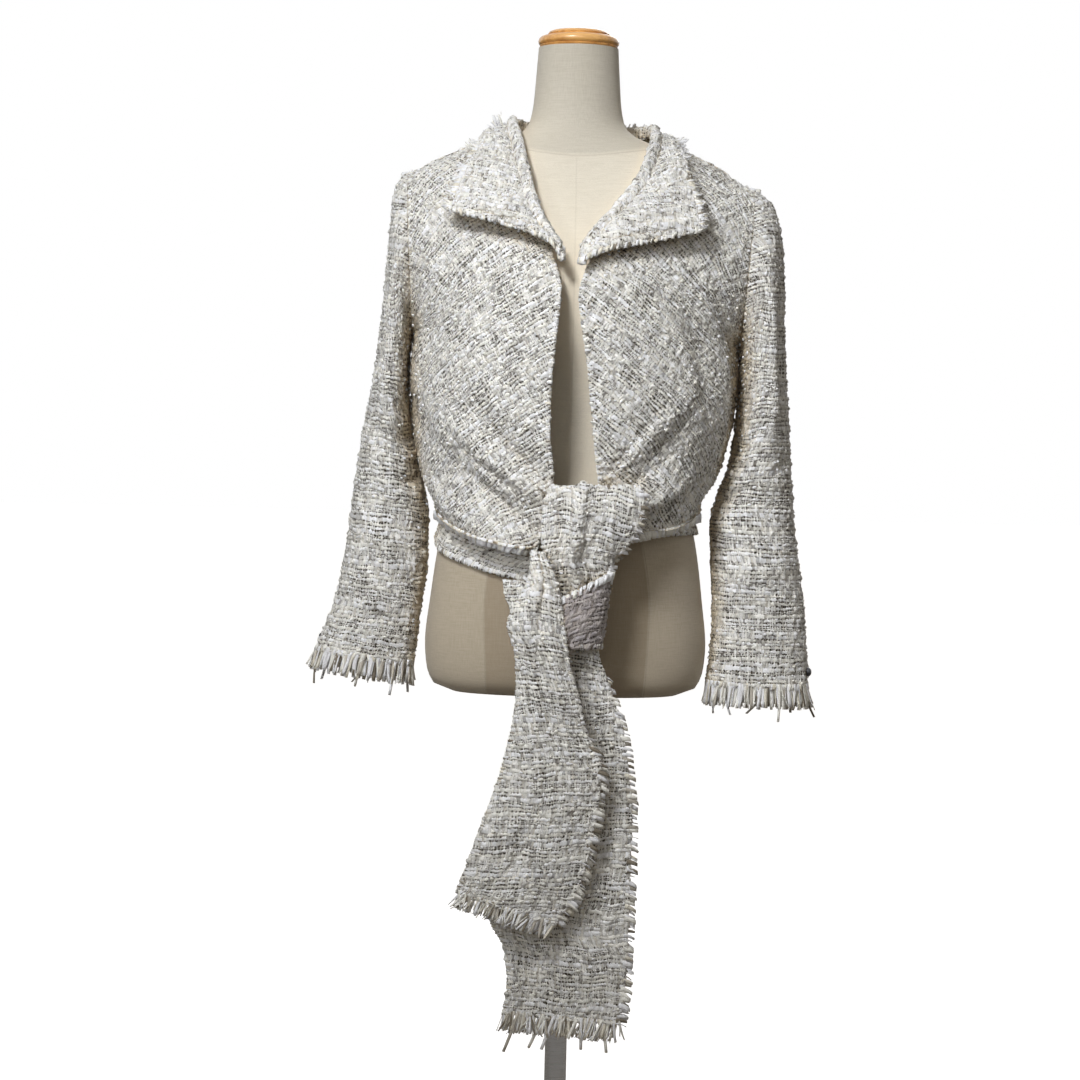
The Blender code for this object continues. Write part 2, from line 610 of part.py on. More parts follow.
TIE_TUCK = Sections(
    "share first_x first_z second_x second_z first_y middle_y second_y",
    [
        (0.00, -0.0700, 0.7310, -0.0320, 0.7290, -0.0995, -0.1030, -0.1040),
        (0.40, -0.0690, 0.7190, -0.0310, 0.7180, -0.1060, -0.1090, -0.1100),
        (0.75, -0.0640, 0.7060, -0.0320, 0.7040, -0.1120, -0.1140, -0.1160),
        (1.00, -0.0580, 0.6960, -0.0340, 0.6920, -0.1150, -0.1170, -0.1190),
    ],
)
TIE_LEFT_CREASES = [
    (0.34, 0.07, 0.46, 0.25, 0.080, -0.0060),
    (0.66, 0.08, 0.66, 0.25, 0.080, 0.0040),
    (0.35, 0.30, 0.50, 0.62, 0.090, 0.0035),
    (0.12, 0.74, 0.22, 1.00, 0.080, 0.0060),
]
TIE_RIGHT_CREASES = [
    (0.50, 0.02, 0.62, 0.26, 0.080, 0.0050),
    (0.30, 0.12, 0.35, 0.40, 0.070, -0.0040),
    (0.55, 0.45, 0.30, 0.95, 0.090, 0.0035),
]


def strip(table, creases=()):
    """A flat strip of cloth, laid from rung to rung of its table."""

    def base(across, share):
        first = table.point(share, "first_x", "first_y", "first_z")
        second = table.point(share, "second_x", "second_y", "second_z")
        points = first + (second - first) * across[..., None]
        chord = (first[..., 1] + second[..., 1]) / 2
        points[..., 1] += (table.read("middle_y", share) - chord) * 4 * across * (1 - across)
        return points

    return lambda across, share: creased(base, across, share, creases)


WRAP = {
    "middle": (-0.0010, -0.1500, 0.6890),
    "half_width": 0.0475,
    "half_depth": 0.0215,
    "height": 0.0520,
    "tilt": 0.55,
}


def knot_wrap(turns, share):
    """The stretch of the right tie that goes once round the left one, higher on the left side."""
    angle = 2 * np.pi * turns
    x = WRAP["half_width"] * np.cos(angle) * (1 - 0.17 * (1 - share))
    y = WRAP["half_depth"] * np.sin(angle) * (1 + 0.25 * np.sin(np.pi * share))
    z = WRAP["height"] * (share - 0.5) + WRAP["tilt"] * share * x
    return np.stack([x, y, z], -1) + np.array(WRAP["middle"])


# ---------------------------------------------------------------- from surfaces to objects
def material(name, colour, roughness, metallic=0.0):
    made = bpy.data.materials.new(name)
    made.use_nodes = True
    shader = made.node_tree.nodes["Principled BSDF"]
    shader.inputs["Base Color"].default_value = (*colour, 1.0)
    shader.inputs["Roughness"].default_value = roughness
    shader.inputs["Metallic"].default_value = metallic
    return made


def keep(obj, finish):
    obj.data.materials.clear()
    obj.data.materials.append(finish)
    for owner in list(obj.users_collection):
        owner.objects.unlink(obj)
    PARTS.objects.link(obj)
    return obj


def sheet_mesh(name, surface, columns, rows, u_range=(0.0, 1.0), shares=None, closed=False):
    """A grid whose points are moved onto a surface. A closed one is sewn into a tube."""
    v = np.linspace(0, 1, rows + 1) if shares is None else np.array(shares, float)
    rows = len(v) - 1
    bm = bmesh.new()
    bmesh.ops.create_grid(bm, x_segments=columns, y_segments=rows, size=0.5)
    place = np.array([v.co[:2] for v in bm.verts]) + 0.5
    grid_u = np.rint(place[:, 0] * columns).astype(int)
    grid_v = np.rint(place[:, 1] * rows).astype(int)
    u = np.linspace(*u_range, columns + 1)
    points = surface(*np.meshgrid(u, v))
    for vert, i, j in zip(bm.verts, grid_u, grid_v):
        vert.co = points[j, 0 if closed and i == columns else i]
    if closed:
        bmesh.ops.remove_doubles(bm, verts=bm.verts, dist=1e-6)
    bmesh.ops.recalc_face_normals(bm, faces=bm.faces)
    mesh = bpy.data.meshes.new(name)
    bm.to_mesh(mesh)
    bm.free()
    return mesh


def cloth(name, surface, columns, rows, thickness=CLOTH, **grid):
    """One cut piece of tweed: an open sheet with Solidify for its wall."""
    obj = bpy.data.objects.new(name, sheet_mesh(name, surface, columns, rows, **grid))
    PARTS.objects.link(obj)
    wall = obj.modifiers.new("wall", "SOLIDIFY")
    wall.thickness = thickness
    wall.offset = 0.0
    wall.use_even_offset = False
    obj.data.materials.append(TWEED)
    return obj


def turned(name, profile, finish, steps=32):
    """A turned piece: its profile runs down the outer side at +X, from axis to axis."""
    bm = bmesh.new()
    verts = [bm.verts.new((radius, 0, z)) for radius, z in profile]
    for a, b in zip(verts, verts[1:]):
        bm.edges.new((a, b))
    mesh = bpy.data.meshes.new(name)
    bm.to_mesh(mesh)
    bm.free()
    obj = bpy.data.objects.new(name, mesh)
    PARTS.objects.link(obj)
    screw = obj.modifiers.new("turn", "SCREW")
    screw.steps = screw.render_steps = steps
    screw.use_merge_vertices = True
    screw.merge_threshold = 0.00005
    obj.data.materials.append(finish)
    return obj


def torso():
    """The linen-covered body and neck: rings of the form's sections, capped at both ends."""
    heights = np.array(sorted(set(np.round(np.concatenate([
        FORM.rows[:, 0], np.linspace(FORM_FLOOR + 0.03, 1.16, FORM_RINGS - len(FORM.rows) + 4)]), 4))))
    heights = heights[np.concatenate([[True], np.diff(heights) > 0.0028])]
    bm = bmesh.new()
    rings = []
    for z in heights:
        ring = bmesh.ops.create_circle(bm, segments=FORM_SIDES, radius=1.0)["verts"]
        half, front = FORM.read("half_width", z), FORM.read("front", z)
        back, power = FORM.read("back", z), FORM.read("square", z)
        for vert in ring:
            angle = math.atan2(vert.co.y, vert.co.x)
            cos, sin = math.cos(angle), math.sin(angle)
            deep = front if sin < 0 else back
            radius = (abs(cos / half) ** power + abs(sin / deep) ** power) ** (-1 / power)
            vert.co = (radius * cos, radius * sin, z)
        rings.append({e for v in ring for e in v.link_edges})
    for low, high in zip(rings, rings[1:]):
        bmesh.ops.bridge_loops(bm, edges=list(low | high))
    bmesh.ops.contextual_create(bm, geom=list(rings[0]))
    bmesh.ops.contextual_create(bm, geom=list(rings[-1]))
    bmesh.ops.recalc_face_normals(bm, faces=bm.faces)
    mesh = bpy.data.meshes.new("form_torso")
    bm.to_mesh(mesh)
    bm.free()
    mesh.shade_smooth()
    return keep(bpy.data.objects.new("form_torso", mesh), LINEN)


# ---------------------------------------------------------------- fringe
FRINGE_GAP = 0.0005       # clearance to the cloth's raw edge
FRINGE_STRIP = 0.0025     # width of the strip the strands grow from
FRINGE_THICK = 0.0016     # thickness of its outer side, and of the strands' roots
SLEEVE_COLUMNS, COLLAR_COLUMNS = 18, 32


def fringe(name, surface, columns, strands, length, fixed=1.0, along_u=True, u_range=(0.0, 1.0),
           closed=False, long=False, lift=0.0, seed=1):
    """Loose yarn ends along one border of a cloth: a narrow strip just off its raw edge, with a row
    of tapered four-sided strands grown out of the strip's outer side. The strip follows the
    straight stretches of the cloth's own grid, which has this many columns along the border."""
    rng = np.random.default_rng(seed)
    marks = np.linspace(0, 1, columns + 1)

    def border(share, back=0.0):
        run = np.asarray(share, float)
        hold = np.full_like(run, fixed - back)
        if along_u:
            return surface(run[None, :], hold[None, :])[0]
        return surface(hold[:, None], run[:, None])[:, 0]

    grid_u = marks if u_range == (0.0, 1.0) else np.linspace(u_range[0], u_range[1], columns + 1)
    rim = border(grid_u)
    straight = unit(rim - border(grid_u, 0.016))
    ways = unit(straight + (0, 0, lift))
    ahead = np.roll(rim, -1, 0) if closed else np.concatenate([rim[1:], rim[-1:]])
    behind = np.roll(rim, 1, 0) if closed else np.concatenate([rim[:1], rim[:-1]])
    if closed:
        ahead[-1], behind[0] = rim[1], rim[-2]
    faces_out = unit(np.cross(ahead - behind, ways))

    def follow(values, share):
        return np.stack([np.interp(share, marks, values[:, k]) for k in range(3)], -1)

    cells = 2 * strands + (0 if closed else 1)
    bounds = np.linspace(0, 1, cells + 1)
    at = bounds[:-1] if closed else bounds
    way = unit(follow(ways, at))
    root = follow(rim, at) + unit(follow(straight, at)) * FRINGE_GAP * (1 + 4 * lift)
    tip = root + way * FRINGE_STRIP
    across = unit(follow(faces_out, at)) * FRINGE_THICK / 2
    bm = bmesh.new()
    rings = [[bm.verts.new(p) for p in (root[i], tip[i] + across[i], tip[i] - across[i])]
             for i in range(len(at))]
    outer = []
    for i in range(cells):
        here, after = rings[i], rings[(i + 1) % len(at)]
        for k in range(3):
            face = bm.faces.new((here[k], here[(k + 1) % 3], after[(k + 1) % 3], after[k]))
            if k == 1:
                outer.append(face)
    if not closed:
        bm.faces.new(rings[0])
        bm.faces.new(rings[-1][::-1])
    bmesh.ops.recalc_face_normals(bm, faces=bm.faces)
    for i in range(0 if closed else 1, len(outer), 2):
        middle = (bounds[i] + bounds[i + 1]) / 2
        cell = np.linalg.norm(follow(rim, bounds[i + 1]) - follow(rim, bounds[i]))
        sideways = unit(follow(rim, bounds[i + 1]) - follow(rim, bounds[i]))
        reach = length * rng.uniform(0.72, 1.12)
        drift = sideways * cell * rng.uniform(-0.40, 0.40)
        sway = unit(follow(faces_out, middle)) * reach * rng.uniform(-0.06, 0.06)
        face = bmesh.ops.extrude_discrete_faces(bm, faces=[outer[i]])["faces"][0]
        centre = np.array(face.calc_center_median())
        shift = unit(follow(ways, middle)) * reach + drift + sway
        for vert in face.verts:
            vert.co = centre + (np.array(vert.co) - centre) * (0.45 if long else 0.25) + shift
    mesh = bpy.data.meshes.new(name)
    bm.to_mesh(mesh)
    bm.free()
    return keep(bpy.data.objects.new(name, mesh), YARN)


def add_fringes():
    for side, name in ((RIGHT, "fringe_cuff_right"), (LEFT, "fringe_cuff_left")):
        fringe(name, sleeve(side), SLEEVE_COLUMNS, 30, 0.021, closed=True, long=True, seed=3 + side)
    for table, name, columns, seed in ((TIE_RIGHT, "right", 6, 11), (TIE_LEFT, "left", 6, 12)):
        fringe("fringe_tie_%s_end" % name, strip(table), columns, 20, 0.021, long=True, seed=seed)
    fringe("fringe_tie_right_side", strip(TIE_RIGHT), 11, 20, 0.009, along_u=False,
           u_range=(0.45, 1.0), seed=21)
    fringe("fringe_tie_left_side", strip(TIE_LEFT), 17, 26, 0.009, along_u=False,
           u_range=(0.345, 1.0), seed=22)
    fringe("fringe_collar", collar, COLLAR_COLUMNS, 40, 0.010, u_range=(-1.0, 1.0), lift=0.42, seed=23)


# ---------------------------------------------------------------- buttons
def cuff_button(name, side, turns, share):
    """A domed metal button on the outer line of a cuff, its flat back just off the cloth."""
    surface = sleeve(side)
    step = 0.01
    here = surface(np.array([[turns]]), np.array([[share]]))[0, 0]
    down = surface(np.array([[turns]]), np.array([[share + step]]))[0, 0] - here
    around = surface(np.array([[turns + step]]), np.array([[share]]))[0, 0] - here
    normal = unit(np.cross(around, down))
    if normal[0] * side < 0:
        normal = -normal
    radius, height = 0.0055, 0.0042
    arc = [(radius * math.cos(a), height * math.sin(a)) for a in np.radians([90, 68, 45, 22, 0])]
    profile = [(0.0, arc[0][1])] + arc[1:] + [(radius * 0.92, -0.0008), (0.0, -0.0008)]
    obj = turned(name, profile, METAL, steps=10)
    x_axis = unit(np.cross([0, 0, 1.0], normal))
    y_axis = np.cross(normal, x_axis)
    seat = here + normal * (CLOTH / 2 + 0.0010)
    frame = np.eye(4)
    frame[:3] = np.stack([x_axis, y_axis, normal, seat], 1)
    obj.matrix_world = Matrix([list(row) for row in frame])
    return obj


# ---------------------------------------------------------------- the whole object
for old in list(bpy.data.objects):
    bpy.data.objects.remove(old)
PARTS = bpy.data.collections.new("tweed_jacket_on_form")
bpy.context.scene.collection.children.link(PARTS)
TWEED = material("white tweed", (0.80, 0.79, 0.76), 0.85)
YARN = material("loose yarn", (0.82, 0.81, 0.77), 0.80)
LINEN = material("linen cover", (0.62, 0.55, 0.44), 0.90)
WOOD = material("turned wood", (0.62, 0.40, 0.17), 0.35)
STEEL = material("satin steel", (0.62, 0.62, 0.62), 0.30, 1.0)
METAL = material("dark button metal", (0.10, 0.10, 0.11), 0.35, 1.0)

torso()
turned("neck_cap", [(0.0, 1.3500), (0.030, 1.3495), (0.0345, 1.3470), (0.0365, 1.3440),
                    (0.0420, 1.3425), (0.0455, 1.3385), (0.0460, 1.3360), (0.0445, 1.3325),
                    (0.0430, 1.3303), (0.0, 1.3303)], WOOD, steps=24)
turned("cap_nut", [(0.0, 1.3540), (0.0060, 1.3535), (0.0072, 1.3518), (0.0072, 1.3503), (0.0, 1.3503)],
       METAL, steps=12)
turned("pole_collar", [(0.0, 0.5997), (0.026, 0.5997), (0.026, 0.5820), (0.0180, 0.5760), (0.0, 0.5760)],
       WOOD, steps=20)
turned("pole", [(0.0, 0.5757), (0.0125, 0.5757), (0.0125, 0.0263), (0.0, 0.0263)], STEEL, steps=20)
turned("foot", [(0.0, 0.0260), (0.030, 0.0250), (0.050, 0.0200), (0.135, 0.0140), (0.150, 0.0100),
                (0.150, 0.0), (0.0, 0.0)], WOOD, steps=32)

cloth("front_right", front_panel(RIGHT), 13, 16, shares=PANEL_ROWS)
cloth("front_left", front_panel(LEFT), 13, 16, shares=PANEL_ROWS)
cloth("back", back_panel, 20, 16, u_range=(-1.0, 1.0), shares=PANEL_ROWS)
cloth("sleeve_right", sleeve(RIGHT), SLEEVE_COLUMNS, 17, closed=True)
cloth("sleeve_left", sleeve(LEFT), SLEEVE_COLUMNS, 17, closed=True)
cloth("collar", collar, COLLAR_COLUMNS, 9, u_range=(-1.0, 1.0))
cloth("waist_band", waist_band, 28, 2, u_range=(-0.70, 0.14))
cloth("tie_left", strip(TIE_LEFT, TIE_LEFT_CREASES), 6, 26)
cloth("tie_right", strip(TIE_RIGHT, TIE_RIGHT_CREASES), 6, 20)
cloth("tie_tuck", strip(TIE_TUCK), 3, 3)
cloth("knot_wrap", knot_wrap, 20, 3, closed=True)
add_fringes()
cuff_button("cuff_button_left", LEFT, -0.03, 0.955)
cuff_button("cuff_button_right", RIGHT, 0.05, 0.955)
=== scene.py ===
"""Cropped tweed jacket with a tied front on a linen dress form: the looks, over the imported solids.

Metres, +Z up, the front faces -Y. Left and right are the wearer's: the right half lies at -X.
"""

import math
from functools import reduce

import bmesh
import bpy
import numpy as np
from mathutils import Matrix, Vector


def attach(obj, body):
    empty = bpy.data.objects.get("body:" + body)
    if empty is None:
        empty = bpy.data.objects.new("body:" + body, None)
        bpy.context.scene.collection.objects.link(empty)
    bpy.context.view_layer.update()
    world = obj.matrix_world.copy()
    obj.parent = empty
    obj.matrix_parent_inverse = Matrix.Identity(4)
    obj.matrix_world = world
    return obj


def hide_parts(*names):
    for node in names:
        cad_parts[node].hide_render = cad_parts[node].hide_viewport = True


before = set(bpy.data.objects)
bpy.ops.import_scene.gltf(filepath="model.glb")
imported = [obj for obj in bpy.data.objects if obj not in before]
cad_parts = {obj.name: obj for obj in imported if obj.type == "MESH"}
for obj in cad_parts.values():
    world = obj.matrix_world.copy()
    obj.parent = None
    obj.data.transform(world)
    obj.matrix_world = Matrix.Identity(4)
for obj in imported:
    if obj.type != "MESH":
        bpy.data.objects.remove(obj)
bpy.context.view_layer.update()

# ------------------------------------------------------------------ stand: foot, pole and its collar
# A turned beech foot on the floor, a satin steel pole screwed into it, and a small turned collar
# that the padded form sits on. The wood is stained to honey and varnished.

WELD = 1e-5               # points nearer than this are one


def node(tree, kind, *inputs, out=0, **settings):
    """Adds a shader node, fills its inputs in order with sockets or values, and gives one output."""
    made = tree.nodes.new("ShaderNode" + kind)
    for name, value in settings.items():
        setattr(made, name, value)
    for socket, value in zip(made.inputs, inputs):
        if isinstance(value, bpy.types.NodeSocket):
            tree.links.new(value, socket)
        elif value is not None:
            socket.default_value = value
    return made.outputs[out]


def calc(tree, operation, *values):
    return node(tree, "Math", *values, operation=operation)


def times(tree, *values):
    return reduce(lambda first, second: calc(tree, "MULTIPLY", first, second), values)


def plus(tree, *values):
    return reduce(lambda first, second: calc(tree, "ADD", first, second), values)


def less(tree, first, second):
    return calc(tree, "SUBTRACT", first, second)


def blend(tree, share, first, second):
    """Mixes two colours."""
    return node(tree, "Mix", share, *[None] * 5, first, second, out=2, data_type="RGBA")


def ranged(tree, value, low, high, low_to, high_to):
    return node(tree, "MapRange", value, low, high, low_to, high_to)


def step_up(tree, value, low, high):
    """0 below low, 1 above high and smooth between them."""
    return node(tree, "MapRange", value, low, high, interpolation_type="SMOOTHSTEP")


def finish(name, roughness=0.5, **constants):
    """A new material, its tree and its Principled shader with the given constant sockets."""
    made = bpy.data.materials.new(name)
    made.use_nodes = True
    shader = made.node_tree.nodes["Principled BSDF"]
    shader.inputs["Roughness"].default_value = roughness
    for socket, value in constants.items():
        shader.inputs[socket.replace("_", " ")].default_value = value
    return made, made.node_tree, shader


def raise_by(tree, shader, height, strength, distance):
    bump = node(tree, "Bump", strength, distance, None, height)
    tree.links.new(bump, shader.inputs["Normal"])


def mesh_of(name, bm):
    mesh = bpy.data.meshes.new(name)
    bm.to_mesh(mesh)
    bm.free()
    return mesh


def placed(name, mesh, material, slot, *nodes):
    """Puts a finished mesh in the scene as a piece, which stands for the given nodes."""
    mesh.materials.append(material)
    piece = bpy.data.objects.new(name, mesh)
    bpy.context.scene.collection.objects.link(piece)
    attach(piece, "root")
    if nodes:
        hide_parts(*nodes)
    return piece


def turned(name, profile, material, slot, stands_for, sides=64):
    """A turned piece from its profile of radius and height, from axis to axis."""
    bm = bmesh.new()
    verts = [bm.verts.new((radius, 0, height)) for radius, height in profile]
    edges = [bm.edges.new(pair) for pair in zip(verts, verts[1:])]
    bmesh.ops.spin(bm, geom=verts + edges, cent=(0, 0, 0), axis=(0, 0, 1), angle=math.tau,
                   steps=sides, use_merge=True)
    bmesh.ops.remove_doubles(bm, verts=bm.verts, dist=WELD)
    bmesh.ops.recalc_face_normals(bm, faces=bm.faces)
    mesh = mesh_of(name, bm)
    mesh.shade_smooth()
    mesh.set_sharp_from_angle(angle=math.radians(50))
    return placed(name, mesh, material, slot, stands_for)


def rounded(profile, radius, steps=3):
    """Rounds the inner corners of a profile."""
    points = [Vector(p) for p in profile]
    out = [points[0]]
    for before, corner, after in zip(points, points[1:], points[2:]):
        reach = min(radius, (before - corner).length * 0.45, (after - corner).length * 0.45)
        start = corner + (before - corner).normalized() * reach
        end = corner + (after - corner).normalized() * reach
        for k in range(steps + 1):
            t = k / steps
            out.append(start * (1 - t) ** 2 + corner * 2 * t * (1 - t) + end * t * t)
    return [tuple(p) for p in out + [points[-1]]]


def wood(name, deep, pale, grain_turn):
    """Varnished turned wood: soft long grain, fine pores, and a clear coat."""
    made, tree, shader = finish(name, 0.38, Coat_Weight=0.55, Coat_Roughness=0.16)
    place = node(tree, "TexCoord", out=3)
    along = node(tree, "Mapping", place, (0, 0, 0), grain_turn, (18, 160, 160))
    streaks = node(tree, "TexNoise", along, None, 1.0, 4.0, 0.6)
    cloudy = node(tree, "TexNoise", place, None, 26.0, 2.0, 0.5)
    pores = node(tree, "TexNoise", along, None, 7.0, 2.0, 0.7)
    tone = plus(tree, times(tree, streaks, 0.75), times(tree, cloudy, 0.3))
    colour = blend(tree, step_up(tree, tone, 0.34, 0.70), (*deep, 1), (*pale, 1))
    colour = blend(tree, times(tree, step_up(tree, pores, 0.60, 0.72), 0.35), colour,
                   (deep[0] * 0.5, deep[1] * 0.4, deep[2] * 0.3, 1))
    tree.links.new(colour, shader.inputs["Base Color"])
    raise_by(tree, shader, pores, 0.15, 0.0004)
    return made


HONEY = wood("honey varnished wood", (0.50, 0.215, 0.045), (0.78, 0.43, 0.135), (0, 0, 0.2))
FOOT_WOOD = wood("foot wood", (0.42, 0.20, 0.055), (0.66, 0.38, 0.14), (0, 0, 0.9))

FOOT = [(0, .0260), (.030, .0250), (.050, .0200), (.135, .0140), (.150, .0100), (.150, 0), (0, 0)]
RING = [(0, .5997), (.026, .5997), (.026, .5820), (.0180, .5760), (0, .5760)]
turned("stand_foot", rounded(FOOT, 0.004), FOOT_WOOD, "wood", "foot", 96)
turned("stand_collar", rounded(RING, 0.002), HONEY, "wood", "pole_collar")

STEEL, tree, shader = finish("satin steel", 0.28, Metallic=1.0, Base_Color=(0.60, 0.60, 0.61, 1))
lines = node(tree, "Mapping", node(tree, "TexCoord", out=3), (0, 0, 0), (0, 0, 0), (4, 4, 1500))
turning = node(tree, "TexNoise", lines, None, 1.0, 2.0, 0.5)
tree.links.new(ranged(tree, turning, 0.3, 0.7, 0.22, 0.36), shader.inputs["Roughness"])
raise_by(tree, shader, turning, 0.08, 0.0002)
turned("stand_pole", [(0, .5757), (.0125, .5757), (.0125, .0263), (0, .0263)], STEEL, "steel", "pole")

# ------------------------------------------------------------------ padded form in its linen cover
# A padded torso without arms, covered in plain beige linen that is sewn from panels: a seam down
# the middle of the front and back, one through each side's bust point, and one round the neck.

NECK_TOP = 1.330          # height of the form's cut neck


class Sections:
    """A short table with named columns, read as smooth curves along its first column."""

    def __init__(self, columns, rows):
        self.names = columns.split()
        self.rows = np.array(rows, float)

    def read(self, column, at):
        """Cubic curve through one column that doesn't overshoot its rows."""
        knots = self.rows[:, 0]
        values = self.rows[:, self.names.index(column)]
        steps = np.diff(knots)
        slopes = np.diff(values) / steps
        tangents = np.empty(len(knots))
        tangents[0], tangents[-1] = slopes[0], slopes[-1]
        for i in range(1, len(knots) - 1):
            before, after = slopes[i - 1], slopes[i]
            tangents[i] = 0 if before * after <= 0 else 2 * before * after / (before + after)
        at = np.clip(np.asarray(at, float), knots[0], knots[-1])
        i = np.clip(np.searchsorted(knots, at, side="right") - 1, 0, len(steps) - 1)
        h = steps[i]
        t = (at - knots[i]) / h
        return (
            values[i] * (1 + 2 * t) * (1 - t) ** 2
            + values[i + 1] * t * t * (3 - 2 * t)
            + h * tangents[i] * t * (1 - t) ** 2
            - h * tangents[i + 1] * t * t * (1 - t)
        )

    def point(self, at, *columns):
        return np.stack([self.read(c, at) for c in columns], -1)


def ease(t):
    """Smooth step from 0 to 1."""
    t = np.clip(t, 0, 1)
    return t * t * (3 - 2 * t)


def unit(v):
    return v / np.maximum(np.linalg.norm(v, axis=-1, keepdims=True), 1e-12)


FORM = Sections("height half_width front back square", [
    (0.600, 0.128, 0.072, 0.086, 2.3),
    (0.603, 0.142, 0.083, 0.099, 2.3),
    (0.612, 0.152, 0.092, 0.109, 2.3),
    (0.630, 0.158, 0.097, 0.116, 2.3),
    (0.655, 0.160, 0.099, 0.119, 2.3),
    (0.705, 0.155, 0.100, 0.116, 2.3),
    (0.780, 0.144, 0.097, 0.100, 2.3),
    (0.825, 0.127, 0.088, 0.082, 2.2),
    (0.865, 0.117, 0.082, 0.073, 2.2),
    (0.910, 0.122, 0.087, 0.077, 2.2),
    (0.960, 0.132, 0.100, 0.086, 2.2),
    (1.010, 0.141, 0.118, 0.093, 2.2),
    (1.050, 0.147, 0.125, 0.096, 2.2),
    (1.090, 0.153, 0.117, 0.097, 2.3),
    (1.130, 0.162, 0.097, 0.092, 2.3),
    (1.160, 0.170, 0.080, 0.083, 2.3),
    (1.178, 0.170, 0.071, 0.076, 2.2),
    (1.187, 0.165, 0.067, 0.072, 2.1),
    (1.196, 0.150, 0.063, 0.068, 2.0),
    (1.206, 0.127, 0.059, 0.063, 2.0),
    (1.216, 0.104, 0.056, 0.059, 2.0),
    (1.2255, 0.081, 0.0535, 0.0555, 2.0),
    (1.234, 0.0622, 0.051, 0.053, 2.0),
    (1.244, 0.0545, 0.049, 0.050, 2.0),
    (1.264, 0.0500, 0.047, 0.048, 2.0),
    (1.295, 0.0475, 0.046, 0.046, 2.0),
    (1.330, 0.0452, 0.045, 0.045, 2.0),
])


def form_reach(points):
    """How far out a point lies, as a share of the form's surface at that height."""
    x, y, z = points[..., 0], points[..., 1], points[..., 2]
    deep = np.where(y < 0, FORM.read("front", z), FORM.read("back", z))
    power = FORM.read("square", z)
    return (np.abs(x / FORM.read("half_width", z)) ** power + np.abs(y / deep) ** power) ** (1 / power)


def over_form(points, margin=0.0021):
    """Cloth rests on the form: points nearer than the margin move out along the form's normal."""
    margin = margin + np.where(points[..., 1] > 0, 0.0035, 0.0010) * ease((points[..., 2] - 1.155) / 0.02)
    for _ in range(3):
        step = 2e-4
        reach = form_reach(points)
        slope = np.stack(
            [(form_reach(points + step * axis) - form_reach(points - step * axis)) / (2 * step)
             for axis in np.eye(3)], -1)
        steep = np.maximum(np.linalg.norm(slope, axis=-1), 1e-6)
        apart = np.clip((reach - 1) / steep, -0.05, 0.05)
        soft = 0.0016
        wanted = (apart + margin + np.sqrt((apart - margin) ** 2 + soft**2)) / 2
        wanted = np.where(apart > 0.02, apart, wanted)
        move = np.where(points[..., 2] > NECK_TOP, 0, wanted - apart) / steep
        points = points + slope * move[..., None]
    return points


BUST_SEAM = Sections(
    "height away",
    [(0.60, 0.088), (0.70, 0.092), (0.80, 0.078), (0.865, 0.066), (0.96, 0.076), (1.05, 0.082), (1.13, 0.090),
     (1.20, 0.080)],
)
NECK_SEAM = {"front": 1.2040, "back": 1.2400}
SEAM_DIP = 0.002          # share of the form's size by which a seam is drawn in


def form_ring(angle, height, margin=0.0):
    """Points round the form at a height, at a margin outside its surface."""
    cos, sin = np.cos(angle), np.sin(angle)
    power = FORM.read("square", height)
    deep = np.where(sin < 0, FORM.read("front", height), FORM.read("back", height)) + margin
    half = FORM.read("half_width", height) + margin
    radius = (np.abs(cos / half) ** power + np.abs(sin / deep) ** power) ** (-1 / power)
    return np.stack([radius * cos, radius * sin, height], -1)


def vectors(data, field):
    """One vector for each vertex, as rows."""
    flat = np.empty(len(data) * 3)
    data.foreach_get(field, flat)
    return flat.reshape(-1, 3)


def sheet_of(name, columns, rows):
    """A flat grid as a mesh, with the column and row of each vertex."""
    bm = bmesh.new()
    bmesh.ops.create_grid(bm, x_segments=columns, y_segments=rows, size=0.5)
    mesh = mesh_of(name, bm)
    across, upward = vectors(mesh.vertices, "co")[:, :2].T + 0.5
    return mesh, np.rint(across * columns).astype(int), np.rint(upward * rows).astype(int)


def move_to(mesh, points):
    mesh.vertices.foreach_set("co", np.ascontiguousarray(points, dtype=np.float32).ravel())
    mesh.update()


def give(mesh, name, values):
    """Stores a vector on each vertex for the materials to read."""
    layer = mesh.attributes.new(name, "FLOAT_VECTOR", "POINT")
    layer.data.foreach_set("vector", np.ascontiguousarray(values, dtype=np.float32).ravel())


def groove(away, half_width):
    return np.exp(-((away / half_width) ** 2))


